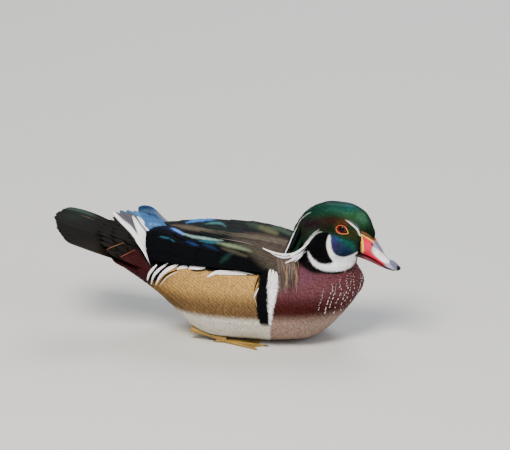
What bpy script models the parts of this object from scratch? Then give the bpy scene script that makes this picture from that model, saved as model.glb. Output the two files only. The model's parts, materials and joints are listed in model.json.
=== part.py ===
# Wood duck drake, life size, sitting on its belly with its feet tucked under: a still museum model.
# Metres, +Z up. +X points from tail to breast, +Y is the bird's left, and the floor is z = 0.

import math
import random

import bmesh
import bpy
import numpy as np
from mathutils import Matrix, Vector

# Clearance between nodes that touch
GAP = 0.0003

# Body. Each row: x, underside, back, half width, height of the widest line, squareness of the section.
# The underside runs a little below the floor and is flattened there.
BODY_FRONT = (0.1200, 0.0610)
BODY_REAR = (-0.1400, 0.0690)
BODY_ROWS = (
    (-0.1380, 0.0665, 0.0725, 0.0065, 0.0695, 2.0),
    (-0.1250, 0.0600, 0.0810, 0.0200, 0.0700, 2.0),
    (-0.1100, 0.0520, 0.0880, 0.0300, 0.0680, 2.1),
    (-0.0890, 0.0380, 0.0935, 0.0410, 0.0650, 2.2),
    (-0.0670, 0.0180, 0.0965, 0.0500, 0.0600, 2.3),
    (-0.0500, 0.0030, 0.0975, 0.0560, 0.0560, 2.4),
    (-0.0270, -0.0020, 0.0980, 0.0615, 0.0520, 2.5),
    (0.0200, -0.0020, 0.0965, 0.0630, 0.0500, 2.5),
    (0.0600, 0.0000, 0.0905, 0.0575, 0.0500, 2.4),
    (0.0760, 0.0060, 0.0875, 0.0510, 0.0520, 2.3),
    (0.0930, 0.0210, 0.0850, 0.0385, 0.0570, 2.2),
    (0.1040, 0.0340, 0.0825, 0.0290, 0.0600, 2.1),
    (0.1130, 0.0460, 0.0775, 0.0190, 0.0610, 2.0),
    (0.1180, 0.0540, 0.0695, 0.0090, 0.0612, 2.0),
)
BODY_SIDES = 26
BODY_RINGS = 26

# Barred plumes at the rear of each flank: how many, and the first and last as (root x, tip x, turn)
PLUME_COUNT = 4
PLUME_FIRST = (-0.0700, -0.1080, math.radians(14))
PLUME_LAST = (-0.0360, -0.0740, math.radians(27))
PLUME_HALF_TURN = 0.20
PLUME_SWEEP = 0.10
BORDER_COUNT = 3
BORDER_FIRST = (-0.0120, -0.0540)
BORDER_LAST = (0.0400, 0.0060)
BORDER_TURN = math.radians(43)
BORDER_HALF_TURN = 0.13
BORDER_SWEEP = 0.06
FLANK_LIFTS = (-0.0013, 0.0013)

# Head. It turns to the bird's right about the neck, and its places are (forward, left, up) from a point
# midway between the eyes. Each row: height, front, back, half width, place of the widest line.
NECK_X = 0.0876
EYE_FORWARD = 0.0170
EYE_HEIGHT = 0.1226
HEAD_TURN = math.radians(-15.0)
CROWN = (-0.0060, 0.0232)
HEAD_ROWS = (
    (-0.0740, 0.0040, -0.0460, 0.0270, -0.0220),
    (-0.0620, 0.0060, -0.0490, 0.0262, -0.0220),
    (-0.0520, 0.0070, -0.0510, 0.0250, -0.0210),
    (-0.0440, 0.0080, -0.0515, 0.0232, -0.0200),
    (-0.0360, 0.0095, -0.0520, 0.0216, -0.0180),
    (-0.0280, 0.0140, -0.0525, 0.0208, -0.0150),
    (-0.0200, 0.0215, -0.0525, 0.0202, -0.0130),
    (-0.0130, 0.0262, -0.0520, 0.0192, -0.0120),
    (-0.0060, 0.0278, -0.0505, 0.0182, -0.0110),
    (0.0010, 0.0272, -0.0475, 0.0175, -0.0100),
    (0.0090, 0.0242, -0.0425, 0.0163, -0.0090),
    (0.0165, 0.0180, -0.0335, 0.0137, -0.0080),
    (0.0212, 0.0080, -0.0215, 0.0090, -0.0070),
)
HEAD_SIDES = 28
HEAD_RINGS = 19
HEAD_RING_CROWDING = 1.30
# Feathered wedge of the forehead that runs down the top of the bill: its middle and half lengths
WEDGE_PLACE = (0.0155, 0.0000, -0.0060)
WEDGE_RADII = (0.0148, 0.0062, 0.0130)
WEDGE_SEGMENTS = (16, 10)

# Crest: a pad over the rear of the head, on the head's own rings and sides, and tiers of locks.
# Each tier: count, height of the roots, height of the tips, how far round the side it goes, half width.
CREST_RINGS = (6, 18)
CREST_SIDES = (8, 19)
CREST_DEPTH = (0.0110, 0.0030)
CREST_TIERS = (
    (7, -0.0080, -0.0385, 1.00, 0.185),
    (5, 0.0060, -0.0210, 0.94, 0.235),
    (4, 0.0185, -0.0030, 0.86, 0.270),
)
FACE_POINTEDNESS = 1.75
NAPE_ROUNDNESS = 2.2
# The head and the neck meet on a slanted plane through these two places.
THROAT = (0.0120, -0.0435)
NAPE = (-0.0520, -0.0140)

EYE_RADIUS = 0.0058
EYE_SIDE = 0.0128
EYE_SEGMENTS = (14, 7)
LID_SIDE = 0.0164
LID_RADII = (0.0060, 0.0052)
LID_THICKNESS = 0.0009
LID_SLANT = 0.15
LID_STEPS = 16
LID_SIDES = 6

# Bill. Each row: forward, top, lower edge, half width.
BILL_ROWS = (
    (0.0165, -0.0015, -0.0270, 0.0103),
    (0.0220, -0.0040, -0.0285, 0.0098),
    (0.0280, -0.0110, -0.0305, 0.0090),
    (0.0340, -0.0190, -0.0330, 0.0083),
    (0.0400, -0.0262, -0.0357, 0.0080),
    (0.0460, -0.0315, -0.0383, 0.0080),
    (0.0520, -0.0352, -0.0405, 0.0072),
    (0.0560, -0.0380, -0.0420, 0.0048),
)
BILL_TIP = (0.0580, -0.0405)
JAW_ROWS = (
    (0.0060, -0.0272, -0.0305, 0.0050),
    (0.0150, -0.0280, -0.0326, 0.0070),
    (0.0220, -0.0290, -0.0336, 0.0080),
    (0.0340, -0.0335, -0.0372, 0.0074),
    (0.0460, -0.0387, -0.0413, 0.0066),
    (0.0515, -0.0408, -0.0427, 0.0048),
)
JAW_TIP = (0.0535, -0.0420)
MOUTH_GAP = 0.0004
# Squareness of the section above and below its widest line, steps along it, points round it
BILL_SECTION = (2.3, 3.2, 9, 14)
JAW_SECTION = (3.0, 2.2, 6, 10)
BILL_WIDEST = 0.38

# Folded wing. Each row: x, then (out from the middle, height) of its inner edge, ridge, side and lower edge.
WING_ROWS = (
    (-0.1000, 0.0130, 0.1110, 0.0240, 0.1125, 0.0330, 0.1040, 0.0380, 0.0830),
    (-0.0850, 0.0070, 0.1110, 0.0170, 0.1140, 0.0330, 0.1060, 0.0420, 0.0835),
    (-0.0600, 0.0040, 0.1065, 0.0190, 0.1110, 0.0400, 0.1015, 0.0480, 0.0840),
    (-0.0300, 0.0030, 0.1030, 0.0250, 0.1090, 0.0450, 0.1000, 0.0535, 0.0845),
    (0.0000, 0.0030, 0.1005, 0.0300, 0.1070, 0.0480, 0.0975, 0.0560, 0.0840),
    (0.0250, 0.0040, 0.0980, 0.0310, 0.1030, 0.0485, 0.0935, 0.0560, 0.0825),
    (0.0450, 0.0090, 0.0948, 0.0290, 0.0975, 0.0455, 0.0895, 0.0530, 0.0805),
    (0.0580, 0.0200, 0.0910, 0.0300, 0.0915, 0.0420, 0.0868, 0.0485, 0.0800),
)
# The left wing's rear end lies lower and its front higher: by how much at each x, and the share of it
# at the four places
LEFT_RAISE = (
    (-0.1000, -0.0085),
    (-0.0850, -0.0070),
    (-0.0720, -0.0035),
    (-0.0560, 0.0006),
    (0.0300, 0.0004),
    (0.0580, 0.0022),
)
RAISE_SHARES = (0.60, 1.00, 0.55, 0.00)
WING_CLEARANCE = 0.0014
WING_AXIS = 0.0500
WING_FRONT = 0.0580
WING_REAR = -0.0800
WING_CORNER = 0.0150
WING_RINGS = 13
WING_COLUMNS = 9
# Where the rearmost feathers end: place down the wing's section, x
WING_END = ((0.0, -0.0850), (0.25, -0.0970), (0.5, -0.1035), (0.75, -0.1030), (1.0, -0.0980))
# Tiers of the folded wing: count, root x, tip x (None ends them at WING_END), half width, tip lift.
# Half widths are shares of the section, which is about 60 mm long.
WING_TIERS = (
    (7, -0.0420, None, 0.090, 0.0012),
    (5, -0.0060, -0.0600, 0.112, 0.0019),
    (4, 0.0240, -0.0240, 0.140, 0.0019),
    (3, 0.0460, 0.0080, 0.180, 0.0017),
)
WING_ROOT_LIFT = -0.0014
SLATE_ROLL = 0.00065
LONG_ROLL = 0.00085

# Primaries, as (x, out, up) on either wing: the lowest one's root, bend and tip, then the top one's.
# The right wing's tips reach further back.
PRIMARY_COUNT = 5
PRIMARY_LOW = ((-0.0790, 0.0395, 0.0815), (-0.1090, 0.0330, 0.0920), (-0.1410, 0.0140, 0.1260))
PRIMARY_TOP = ((-0.0660, 0.0280, 0.1010), (-0.0850, 0.0250, 0.1080), (-0.0980, 0.0110, 0.1190))
LEFT_TIP_SHIFT = (0.0220, 0.0000, -0.0025)
# How far the middle ones' tips stand above a straight line between the outer tips
PRIMARY_BULGE = 0.0050
PRIMARY_HALF_WIDTH = 0.0062
PRIMARY_FACE = Vector((0.0, 0.84, 0.54))

# Tail: a fan of quills, coverts over its root and coverts under it
TAIL_ROOT = (-0.1000, 0.0800)
TAIL_TIP = (-0.2050, 0.1100)
TAIL_HALF_WIDTHS = (0.0330, 0.0440)
TAIL_ROUNDING = 0.0125
TAIL_SKEW = 0.0070
# How far its right and its left edge hang below its middle, at the root and at the tip
TAIL_DROOPS = ((0.0240, 0.0055), (0.0020, 0.0018))
# How far its left edge curls up halfway along
TAIL_CURL = 0.0055
TAIL_TILT = 0.0020
# Solid core between the quills: where it starts and ends, how far it reaches above and below them there,
# and its half width
CORE_ENDS = (-0.05, 0.62)
CORE_ABOVE = (0.0073, 0.0007)
CORE_BELOW = (0.0075, 0.0012)
CORE_SPREAD = 0.80
CORE_GRID = (5, 7)
QUILL_COUNT = 12
QUILL_STACK = 0.0024
QUILL_HALF_WIDTH = 0.125
QUILL_SPREAD = 0.90
# Covert tiers: count, root, tip, spread, half width, height above the quills at the root and the tip
TAIL_COVERTS = (
    (5, -0.10, 0.50, 0.82, 0.24, 0.0078, 0.0048),
    (3, -0.16, 0.26, 0.70, 0.42, 0.0103, 0.0080),
    (3, -0.05, 0.48, 0.66, 0.40, -0.0070, -0.0034),
)

# Vanes thin out from root to tip, and their edges end a little before their middle.
VANE_THICKNESS = 0.0008
VANE_THINNING = (1.25, 0.70)
VANE_SWEEP = 0.05
VANE_ARCH = 0.10
# Outline of a vane: share of its length, share of its half width
BROAD_VANE = ((0.0, 0.60), (0.45, 1.0), (0.88, 0.84), (1.0, 0.38))
SHORT_VANE = ((0.0, 0.75), (0.62, 1.0), (1.0, 0.34))
LONG_VANE = ((0.0, 0.60), (0.35, 0.95), (0.78, 0.95), (1.0, 0.34))
QUILL_VANE = ((0.0, 0.45), (0.55, 0.90), (0.93, 1.0), (1.0, 0.52))
LOCK = ((0.0, 0.80), (0.50, 1.0), (1.0, 0.20))

# Feet, flat on the floor under the sides of the belly. Toes as (degrees outwards, length).
FOOT_PLACE = (-0.0180, 0.0400)
FOOT_TURN_OUT = math.radians(8.0)
HEEL_PLACE = (-0.0560, 0.0350, 0.0110)
TOES = ((-20.0, 0.0350), (0.0, 0.0430), (21.0, 0.0390))
TOE_WIDTH = 0.0044
TOE_HEIGHT = 0.0034
TOE_TAPER = (0.55, 0.60)
TOE_STEPS = 5
TOE_START = -0.0020
KNUCKLE = 0.12
CLAW_LENGTH = 0.0050
CLAW_HEIGHT = 0.0004
HIND_TOE_ANGLE = 168.0
HIND_TOE_LENGTH = 0.0100
HIND_TOE_START = -0.0010
WEB_THICKNESS = 0.0011
WEB_HOLLOW = 0.84
SHANK_RADIUS = 0.0030
SHANK_SIDES = 8
SHANK_FLATNESS = 0.35
# Thickness of the shank at the ankle, halfway, at the heel and at the thigh, then the thigh from the heel
SHANK_SHARES = (1.0, 0.8, 1.15, 1.5)
THIGH = (0.0120, 0.0060, 0.0220)

# Nostril: forward, out, up, and its half lengths
NOSTRIL = (0.0330, 0.0072, -0.0222)
NOSTRIL_SIZE = (0.0026, 0.0030, 0.0012)
NOSTRIL_TILT = math.radians(40)
NOSTRIL_SEGMENTS = (10, 6)


# Value of every column of the rows at one place, on a smooth curve that never overshoots them.
def along(rows, place):
    table = np.array(rows)
    x = table[:, 0]
    y = table[:, 1:]
    step = np.diff(x)[:, None]
    slope = np.diff(y, axis=0) / step
    bend = np.zeros_like(y)
    same = slope[:-1] * slope[1:] > 0
    bend[1:-1][same] = (2 * slope[:-1] * slope[1:])[same] / (slope[:-1] + slope[1:])[same]
    bend[0] = slope[0]
    bend[-1] = slope[-1]
    i = int(np.clip(np.searchsorted(x, place) - 1, 0, len(x) - 2))
    h = x[i + 1] - x[i]
    t = (min(max(place, x[0]), x[-1]) - x[i]) / h
    start = (1 + 2 * t) * (1 - t) ** 2 * y[i] + t * (1 - t) ** 2 * h * bend[i]
    end = t * t * (3 - 2 * t) * y[i + 1] + t * t * (t - 1) * h * bend[i + 1]
    return start + end


def power(value, exponent):
    return math.copysign(abs(value) ** exponent, value)


def mix(a, b, share):
    return a + (b - a) * share


def ease(share):
    share = min(max(share, 0.0), 1.0)
    return share * share * (3 - 2 * share)


def remove_everything():
    for old in list(bpy.data.objects):
        bpy.data.objects.remove(old, do_unlink=True)


def material(name, colour, roughness, metallic=0.0):
    finish = bpy.data.materials.new(name)
    finish.use_nodes = True
    shader = finish.node_tree.nodes["Principled BSDF"]
    shader.inputs["Base Color"].default_value = (*colour, 1.0)
    shader.inputs["Roughness"].default_value = roughness
    shader.inputs["Metallic"].default_value = metallic
    return finish


def object_from(name, mesh_data, finish=None):
    mesh = bpy.data.meshes.new(name)
    bmesh.ops.recalc_face_normals(mesh_data, faces=mesh_data.faces)
    mesh_data.to_mesh(mesh)
    mesh_data.free()
    obj = bpy.data.objects.new(name, mesh)
    bpy.context.scene.collection.objects.link(obj)
    if finish:
        mesh.materials.append(finish)
    return obj


# Closed body through rings of points, with a point or a flat face at each end.
def loft(name, rings, start=None, end=None):
    shape = bmesh.new()
    loops = [[shape.verts.new(p) for p in ring] for ring in rings]
    count = len(loops[0])
    for low, high in zip(loops, loops[1:]):
        for i in range(count):
            j = (i + 1) % count
            shape.faces.new((low[i], low[j], high[j], high[i]))
    for loop, pole in ((loops[0], start), (loops[-1], end)):
        if pole is None:
            shape.faces.new(loop)
            continue
        tip = shape.verts.new(pole)
        for i in range(count):
            shape.faces.new((loop[i], loop[(i + 1) % count], tip))
    return object_from(name, shape)


# Closed body between two grids of points, with both faces split into triangles alike.
def slab(name, outer, inner):
    shape = bmesh.new()
    top = [[shape.verts.new(p) for p in row] for row in outer]
    base = [[shape.verts.new(p) for p in row] for row in inner]
    rows, columns = len(top), len(top[0])
    for grid in (top, base):
        for i in range(rows - 1):
            for j in range(columns - 1):
                a, b, c, d = grid[i][j], grid[i + 1][j], grid[i + 1][j + 1], grid[i][j + 1]
                if (i + j) % 2:
                    shape.faces.new((a, b, c))
                    shape.faces.new((a, c, d))
                else:
                    shape.faces.new((a, b, d))
                    shape.faces.new((b, c, d))
    rim = [(i, 0) for i in range(rows)] + [(rows - 1, j) for j in range(1, columns)]
    rim += [(i, columns - 1) for i in range(rows - 2, -1, -1)] + [(0, j) for j in range(columns - 2, 0, -1)]
    for (i, j), (k, m) in zip(rim, rim[1:] + rim[:1]):
        shape.faces.new((top[i][j], top[k][m], base[k][m], base[i][j]))
    return object_from(name, shape)


def apply_modifiers(obj):
    graph = bpy.context.evaluated_depsgraph_get()
    mesh = bpy.data.meshes.new_from_object(obj.evaluated_get(graph), depsgraph=graph)
    obj.modifiers.clear()
    obj.data = mesh


# Only the largest closed surface of a mesh stays.
def keep_largest(obj):
    shape = bmesh.new()
    shape.from_mesh(obj.data)
    shape.verts.ensure_lookup_table()
    left = set(range(len(shape.verts)))
    islands = []
    while left:
        todo = [left.pop()]
        island = set(todo)
        while todo:
            for edge in shape.verts[todo.pop()].link_edges:
                for vert in edge.verts:
                    if vert.index in left:
                        left.discard(vert.index)
                        island.add(vert.index)
                        todo.append(vert.index)
        islands.append(island)

    def volume(island):
        total = 0.0
        for face in shape.faces:
            if face.verts[0].index in island:
                total += face.calc_center_median().dot(face.normal) * face.calc_area() / 3
        return abs(total)

    if len(islands) > 1:
        best = max(islands, key=volume)
        extra = [v for v in shape.verts if v.index not in best]
        bmesh.ops.delete(shape, geom=extra, context="VERTS")
    shape.to_mesh(obj.data)
    shape.free()


def combine(obj, others, operation, solver="MANIFOLD"):
    if not others:
        return obj
    group = bpy.data.collections.new("pieces")
    bpy.context.scene.collection.children.link(group)
    for other in others:
        bpy.context.scene.collection.objects.unlink(other)
        group.objects.link(other)
    step = obj.modifiers.new("combine", "BOOLEAN")
    step.operation = operation
    step.operand_type = "COLLECTION"
    step.collection = group
    step.solver = solver
    apply_modifiers(obj)
    for other in others:
        bpy.data.objects.remove(other, do_unlink=True)
    bpy.data.collections.remove(group)
    keep_largest(obj)
    return obj


def join(obj, others):
    return combine(obj, others, "UNION")


def cut(obj, cutters):
    return combine(obj, cutters, "DIFFERENCE")


# Copy of a body grown outwards along its normals, to cut a neighbour that touches it.
def grown(obj, by=GAP):
    copy = obj.copy()
    copy.data = obj.data.copy()
    bpy.context.scene.collection.objects.link(copy)
    shape = bmesh.new()
    shape.from_mesh(copy.data)
    shape.normal_update()
    for vert in shape.verts:
        vert.co += vert.normal * by * vert.calc_shell_factor()
    shape.to_mesh(copy.data)
    shape.free()
    return copy


# Vane that follows a surface. place(a, b, lift) gives a point of it: a runs along the vane, b across it.
# Its root is sunk, and the roll lifts one edge over the next vane, so that neighbours lie like slates.
def vane(place, root, tip, half, lifts, outline=BROAD_VANE, thick=VANE_THICKNESS, roll=0.0):
    outer, inner = [], []
    for share, width in outline:
        lift = mix(lifts[0], lifts[1], share ** 0.5)
        body = thick * mix(*VANE_THINNING, share) / 2
        over, under = [], []
        for column in (-1, 0, 1):
            b = mix(root[1], tip[1], share) + column * half * width
            a = mix(root[0], tip[0], share - VANE_SWEEP * column ** 2 * share ** 3)
            level = lift + roll * column * min(1.0, 2 * share)
            over.append(place(a, b, level + body))
            under.append(place(a, b, level - body))
        outer.append(over)
        inner.append(under)
    return slab("vane", outer, inner)


# Vane through the air, on a curve from its root past a bend to its tip, with its face turned one way.
def free_vane(root, bend, tip, face, half, roll):
    def place(share, across, lift):
        spot = root.lerp(bend, share).lerp(bend.lerp(tip, share), share)
        ahead = ((bend - root) * (1 - share) + (tip - bend) * share).normalized()
        side = ahead.cross(face).normalized()
        up = side.cross(ahead).normalized()
        return spot + side * across * half + up * (lift - VANE_ARCH * half * across ** 2)

    return vane(place, (0.0, 0.0), (1.0, 0.0), 1.0, (0.0, 0.0), LONG_VANE, VANE_THICKNESS, roll)


def finish_node(obj, name, finish):
    obj.name = name
    obj.data.name = name
    obj.data.materials.clear()
    obj.data.materials.append(finish)
    obj.data.shade_smooth()
    obj.data.set_sharp_from_angle(angle=math.radians(35))
    return obj


# Body surface at a place along it, turned from the left side (0) over the back (a quarter turn).
def body_point(x, turn):
    low, high, wide, level, square = along(BODY_ROWS, x)
    across, up = math.cos(turn), math.sin(turn)
    reach = high - level if up > 0 else level - low
    return Vector((x, wide * power(across, 2 / square), level + reach * power(up, 2 / square)))


# Point of the body surface below or inside a place, seen from the middle of the section.
def body_under(x, y, z, lift=0.0):
    low, high, wide, level, square = along(BODY_ROWS, x)
    reach = high - level if z > level else level - low
    away = math.hypot(y, z - level)
    share = (abs(y / wide) ** square + abs((z - level) / reach) ** square) ** (-1 / square)
    share += lift / away
    return Vector((x, y * share, level + (z - level) * share))


def body_shape(name):
    last = BODY_RINGS - 1
    places = [mix(BODY_ROWS[0][0], BODY_ROWS[-1][0], i / last) for i in range(BODY_RINGS)]
    rings = []
    for x in places:
        ring = [body_point(x, math.tau * (i + 0.5) / BODY_SIDES) for i in range(BODY_SIDES)]
        for p in ring:
            p.z = max(p.z, 0.0)
        rings.append(ring)
    return loft(name, rings, (BODY_REAR[0], 0, BODY_REAR[1]), (BODY_FRONT[0], 0, BODY_FRONT[1]))


# Barred plumes and the pale border over the wing's lower edge, as vanes on the body's own surface.
# They are made a second time a little larger, to cut the wing clear of them.
def flank_vanes(side, grow=0.0):
    def place(x, turn, lift):
        spot = body_point(x, turn) + Vector((0.0, math.cos(turn), math.sin(turn))) * lift
        return Vector((spot.x, side * spot.y, spot.z))

    thick = VANE_THICKNESS + 2 * grow
    vanes = []
    for i in range(PLUME_COUNT):
        root, tip, turn = (mix(a, b, i / (PLUME_COUNT - 1)) for a, b in zip(PLUME_FIRST, PLUME_LAST))
        ends = ((root, turn), (tip - grow, turn + PLUME_SWEEP))
        half = PLUME_HALF_TURN + grow / BODY_ROWS[4][3]
        vanes.append(vane(place, *ends, half, FLANK_LIFTS, SHORT_VANE, thick, -SLATE_ROLL))
    for i in range(BORDER_COUNT):
        root, tip = (mix(a, b, i / (BORDER_COUNT - 1)) for a, b in zip(BORDER_FIRST, BORDER_LAST))
        ends = ((root, BORDER_TURN - BORDER_SWEEP), (tip - grow, BORDER_TURN))
        half = BORDER_HALF_TURN + grow / BODY_ROWS[6][3]
        vanes.append(vane(place, *ends, half, FLANK_LIFTS, SHORT_VANE, thick))
    return vanes


# Head place to world. The neck's lower part turns back to face forward.
def head_place(forward, left, up):
    turn = HEAD_TURN * ease((up + 0.066) / 0.030)
    spin = Matrix.Rotation(turn, 3, "Z")
    return Vector((NECK_X, 0.0, EYE_HEIGHT + up)) + spin @ Vector((forward + EYE_FORWARD, left, 0.0))


def head_point(up, turn, lift=0.0):
    front, back, wide, middle = along(HEAD_ROWS, up)
    ahead, aside = math.cos(turn), math.sin(turn)
    round_by = FACE_POINTEDNESS if ahead > 0 else NAPE_ROUNDNESS
    reach = front - middle if ahead > 0 else middle - back
    forward = middle + (reach + lift) * power(ahead, 2 / round_by)
    left = (wide + lift) * power(aside, 2 / round_by)
    return head_place(forward, left, up)


# Height of a ring of the head: they lie closer together towards the crown.
def ring_up(i):
    share = 1 - (1 - i / (HEAD_RINGS - 1)) ** HEAD_RING_CROWDING
    return mix(HEAD_ROWS[0][0], HEAD_ROWS[-1][0], share)


def head_and_neck(name):
    turns = [math.tau * (j + 0.5) / HEAD_SIDES for j in range(HEAD_SIDES)]
    rings = [[head_point(ring_up(i), turn) for turn in turns] for i in range(HEAD_RINGS)]
    return loft(name, rings, None, head_place(CROWN[0], 0, CROWN[1]))


# Part of a mesh on one side of a plane, closed with a flat face.
def keep_side(obj, point, normal):
    shape = bmesh.new()
    shape.from_mesh(obj.data)
    geometry = list(shape.verts) + list(shape.edges) + list(shape.faces)
    result = bmesh.ops.bisect_plane(
        shape, geom=geometry, dist=1e-7, plane_co=point, plane_no=normal, clear_outer=True
    )
    edges = [item for item in result["geom_cut"] if isinstance(item, bmesh.types.BMEdge)]
    bmesh.ops.edgeloop_fill(shape, edges=edges)
    bmesh.ops.recalc_face_normals(shape, faces=shape.faces)
    shape.to_mesh(obj.data)
    shape.free()


# Ellipsoid on the head, with its own axes along the head's.
def ball(name, segments, radii, place, tilt=0.0):
    shape = bmesh.new()
    bmesh.ops.create_uvsphere(shape, u_segments=segments[0], v_segments=segments[1], radius=1.0)
    bmesh.ops.rotate(shape, verts=shape.verts, matrix=Matrix.Rotation(math.pi / 2, 3, "X"))
    bmesh.ops.scale(shape, verts=shape.verts, vec=radii)
    bmesh.ops.rotate(shape, verts=shape.verts, matrix=Matrix.Rotation(tilt, 3, "Y"))
    bmesh.ops.rotate(shape, verts=shape.verts, matrix=Matrix.Rotation(HEAD_TURN, 3, "Z"))
    bmesh.ops.translate(shape, verts=shape.verts, vec=head_place(*place))
    return object_from(name, shape)


def eye_ball(name, side, grow=0.0):
    return ball(name, EYE_SEGMENTS, [EYE_RADIUS + grow] * 3, (0, side * EYE_SIDE, 0))


def wedge(grow=0.0):
    return ball("wedge", WEDGE_SEGMENTS, [radius + grow for radius in WEDGE_RADII], WEDGE_PLACE)


def nostril(side):
    forward, out, up = NOSTRIL
    return ball("nostril", NOSTRIL_SEGMENTS, NOSTRIL_SIZE, (forward, side * out, up), NOSTRIL_TILT)


def lid_ring(side):
    shape = bmesh.new()
    loops = []
    for i in range(LID_STEPS):
        around = math.tau * i / LID_STEPS
        loop = []
        for j in range(LID_SIDES):
            turn = math.tau * j / LID_SIDES
            grow = LID_THICKNESS * math.cos(turn)
            forward = (LID_RADII[0] + grow) * math.cos(around)
            up = (LID_RADII[1] + grow) * math.sin(around)
            out = side * (LID_SIDE - LID_SLANT * forward + 1.2 * LID_THICKNESS * math.sin(turn))
            loop.append(shape.verts.new(head_place(forward, out, up)))
        loops.append(loop)
    for i in range(LID_STEPS):
        a, b = loops[i], loops[(i + 1) % LID_STEPS]
        for j in range(LID_SIDES):
            k = (j + 1) % LID_SIDES
            shape.faces.new((a[j], a[k], b[k], b[j]))
    return object_from("lid", shape)


def bill_half(name, rows, tip, arch, belly, steps, sides, grow=0.0):
    rings = []
    first, last = rows[0][0], rows[-1][0]
    for i in range(steps + 1):
        forward = mix(first, last, i / steps)
        top, low, wide = along(rows, forward)
        level = mix(low, top, BILL_WIDEST)
        ring = []
        for j in range(sides):
            turn = math.tau * (j + 0.5) / sides
            across, up = math.cos(turn), math.sin(turn)
            square = arch if up > 0 else belly
            reach = (top - level if up > 0 else level - low) + grow
            z = level + reach * power(up, 2 / square)
            ring.append(head_place(forward, (wide + grow) * power(across, 2 / square), z))
        rings.append(ring)
    return loft(name, rings, None, head_place(tip[0] + grow, 0, tip[1]))


# Outer surface of the folded wing, by x and by the share of the way from its inner edge to its lower edge.
def wing_place(side, x, down, lift=0.0):
    row = along(WING_ROWS, x)
    rise = along(LEFT_RAISE, x)[0] if side > 0 else 0.0
    knots = [(k / 3, row[2 * k], row[2 * k + 1] + rise * RAISE_SHARES[k]) for k in range(4)]
    y, z = along(knots, down)
    least = body_under(x, y, z, WING_CLEARANCE)
    if math.hypot(y, z - WING_AXIS) < math.hypot(least.y, least.z - WING_AXIS):
        y, z = least.y, least.z
    out = Vector((0.0, y, z - WING_AXIS)).normalized()
    return Vector((x, side * (y + out.y * lift), z + out.z * lift))


def wing_pad(side):
    outer, inner = [], []
    for i in range(WING_RINGS):
        share = i / (WING_RINGS - 1)
        row_out, row_in = [], []
        for j in range(WING_COLUMNS):
            down = j / (WING_COLUMNS - 1)
            front = WING_FRONT - WING_CORNER * abs(2 * down - 1) ** 3
            x = mix(WING_REAR, front, share)
            over = wing_place(side, x, down)
            under = body_under(x, abs(over.y), over.z, GAP * 1.3)
            row_out.append(over)
            row_in.append(Vector((x, side * under.y, under.z)))
        outer.append(row_out)
        inner.append(row_in)
    return slab("wing", outer, inner)


def wing(side, draw):
    def place(x, down, lift):
        return wing_place(side, x, down, lift)

    vanes = []
    for count, root, tip, half, lift in WING_TIERS:
        for i in range(count):
            down = (i + 0.5) / count
            start = root + draw.uniform(-0.002, 0.002)
            end = tip + draw.uniform(-0.003, 0.003) if tip else along(WING_END, down)[0]
            outline = BROAD_VANE if tip is None else SHORT_VANE
            lifts = (WING_ROOT_LIFT, lift)
            vanes.append(vane(place, (start, down), (end, down), half, lifts, outline, roll=SLATE_ROLL))
    mirrored = Vector((1, side, 1))
    shift = Vector(LEFT_TIP_SHIFT) if side > 0 else Vector()
    for i in range(PRIMARY_COUNT):
        share = i / (PRIMARY_COUNT - 1)
        root, bend, tip = (Vector(a).lerp(Vector(b), share) for a, b in zip(PRIMARY_LOW, PRIMARY_TOP))
        tip += shift * (1 - share)
        bend += shift * 0.3 * (1 - share)
        tip.z += PRIMARY_BULGE * 4 * share * (1 - share)
        face = PRIMARY_FACE * mirrored
        places = [point * mirrored for point in (root, bend, tip)]
        vanes.append(free_vane(*places, face, PRIMARY_HALF_WIDTH, side * LONG_ROLL))
    return join(wing_pad(side), vanes)


# Tail surface: share of the way to the tip, share of the half width to the left, height above it.
def tail_place(share, across, lift=0.0):
    x = mix(TAIL_ROOT[0], TAIL_TIP[0], share)
    z = mix(TAIL_ROOT[1], TAIL_TIP[1], share)
    half = mix(*TAIL_HALF_WIDTHS, ease(share * 1.25))
    droop = mix(*TAIL_DROOPS[across > 0], 1 - (1 - share) ** 2)
    x += (TAIL_ROUNDING * across ** 2 - TAIL_SKEW * across) * share
    z += TAIL_TILT * across * share - droop * across ** 2
    if across > 0 and share > 0:
        z += TAIL_CURL * 4 * share * (1 - share) * across ** 2
    return Vector((x, half * across, z + lift))


def tail_core():
    outer, inner = [], []
    rows, columns = CORE_GRID
    for i in range(rows):
        share = mix(*CORE_ENDS, i / (rows - 1))
        above = mix(*CORE_ABOVE, i / (rows - 1))
        below = mix(*CORE_BELOW, i / (rows - 1))
        across = [mix(-CORE_SPREAD, CORE_SPREAD, j / (columns - 1)) for j in range(columns)]
        outer.append([tail_place(share, place, above) for place in across])
        inner.append([tail_place(share, place, -below) for place in across])
    return slab("tail", outer, inner)


def tail():
    vanes = []
    for i in range(QUILL_COUNT):
        across = mix(-QUILL_SPREAD, QUILL_SPREAD, i / (QUILL_COUNT - 1))
        lift = QUILL_STACK * (0.5 - abs(across))
        roll = math.copysign(LONG_ROLL, across)
        ends = ((0.05, across * 0.75), (1.0, across))
        vanes.append(vane(tail_place, *ends, QUILL_HALF_WIDTH, (0.0, lift), QUILL_VANE, roll=roll))
    for count, root, tip, spread, half, low, high in TAIL_COVERTS:
        for i in range(count):
            across = mix(-spread, spread, i / (count - 1))
            end = tip - 0.10 * across ** 2
            roll = math.copysign(SLATE_ROLL, across * high)
            ends = ((root, across * 0.8), (end, across))
            vanes.append(vane(tail_place, *ends, half, (low, high), SHORT_VANE, roll=roll))
    return join(tail_core(), vanes)


def crest_depth(up, turn):
    bottom, top = (ring_up(i) for i in CREST_RINGS)
    share = (up - bottom) / (top - bottom)
    edge = abs(turn - math.pi) / (math.tau * (CREST_SIDES[1] - CREST_SIDES[0]) / 2 / HEAD_SIDES)
    return max(mix(CREST_DEPTH[0], CREST_DEPTH[1], share) * (1 - min(edge, 1.0) ** 2), 0.0008)


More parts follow.
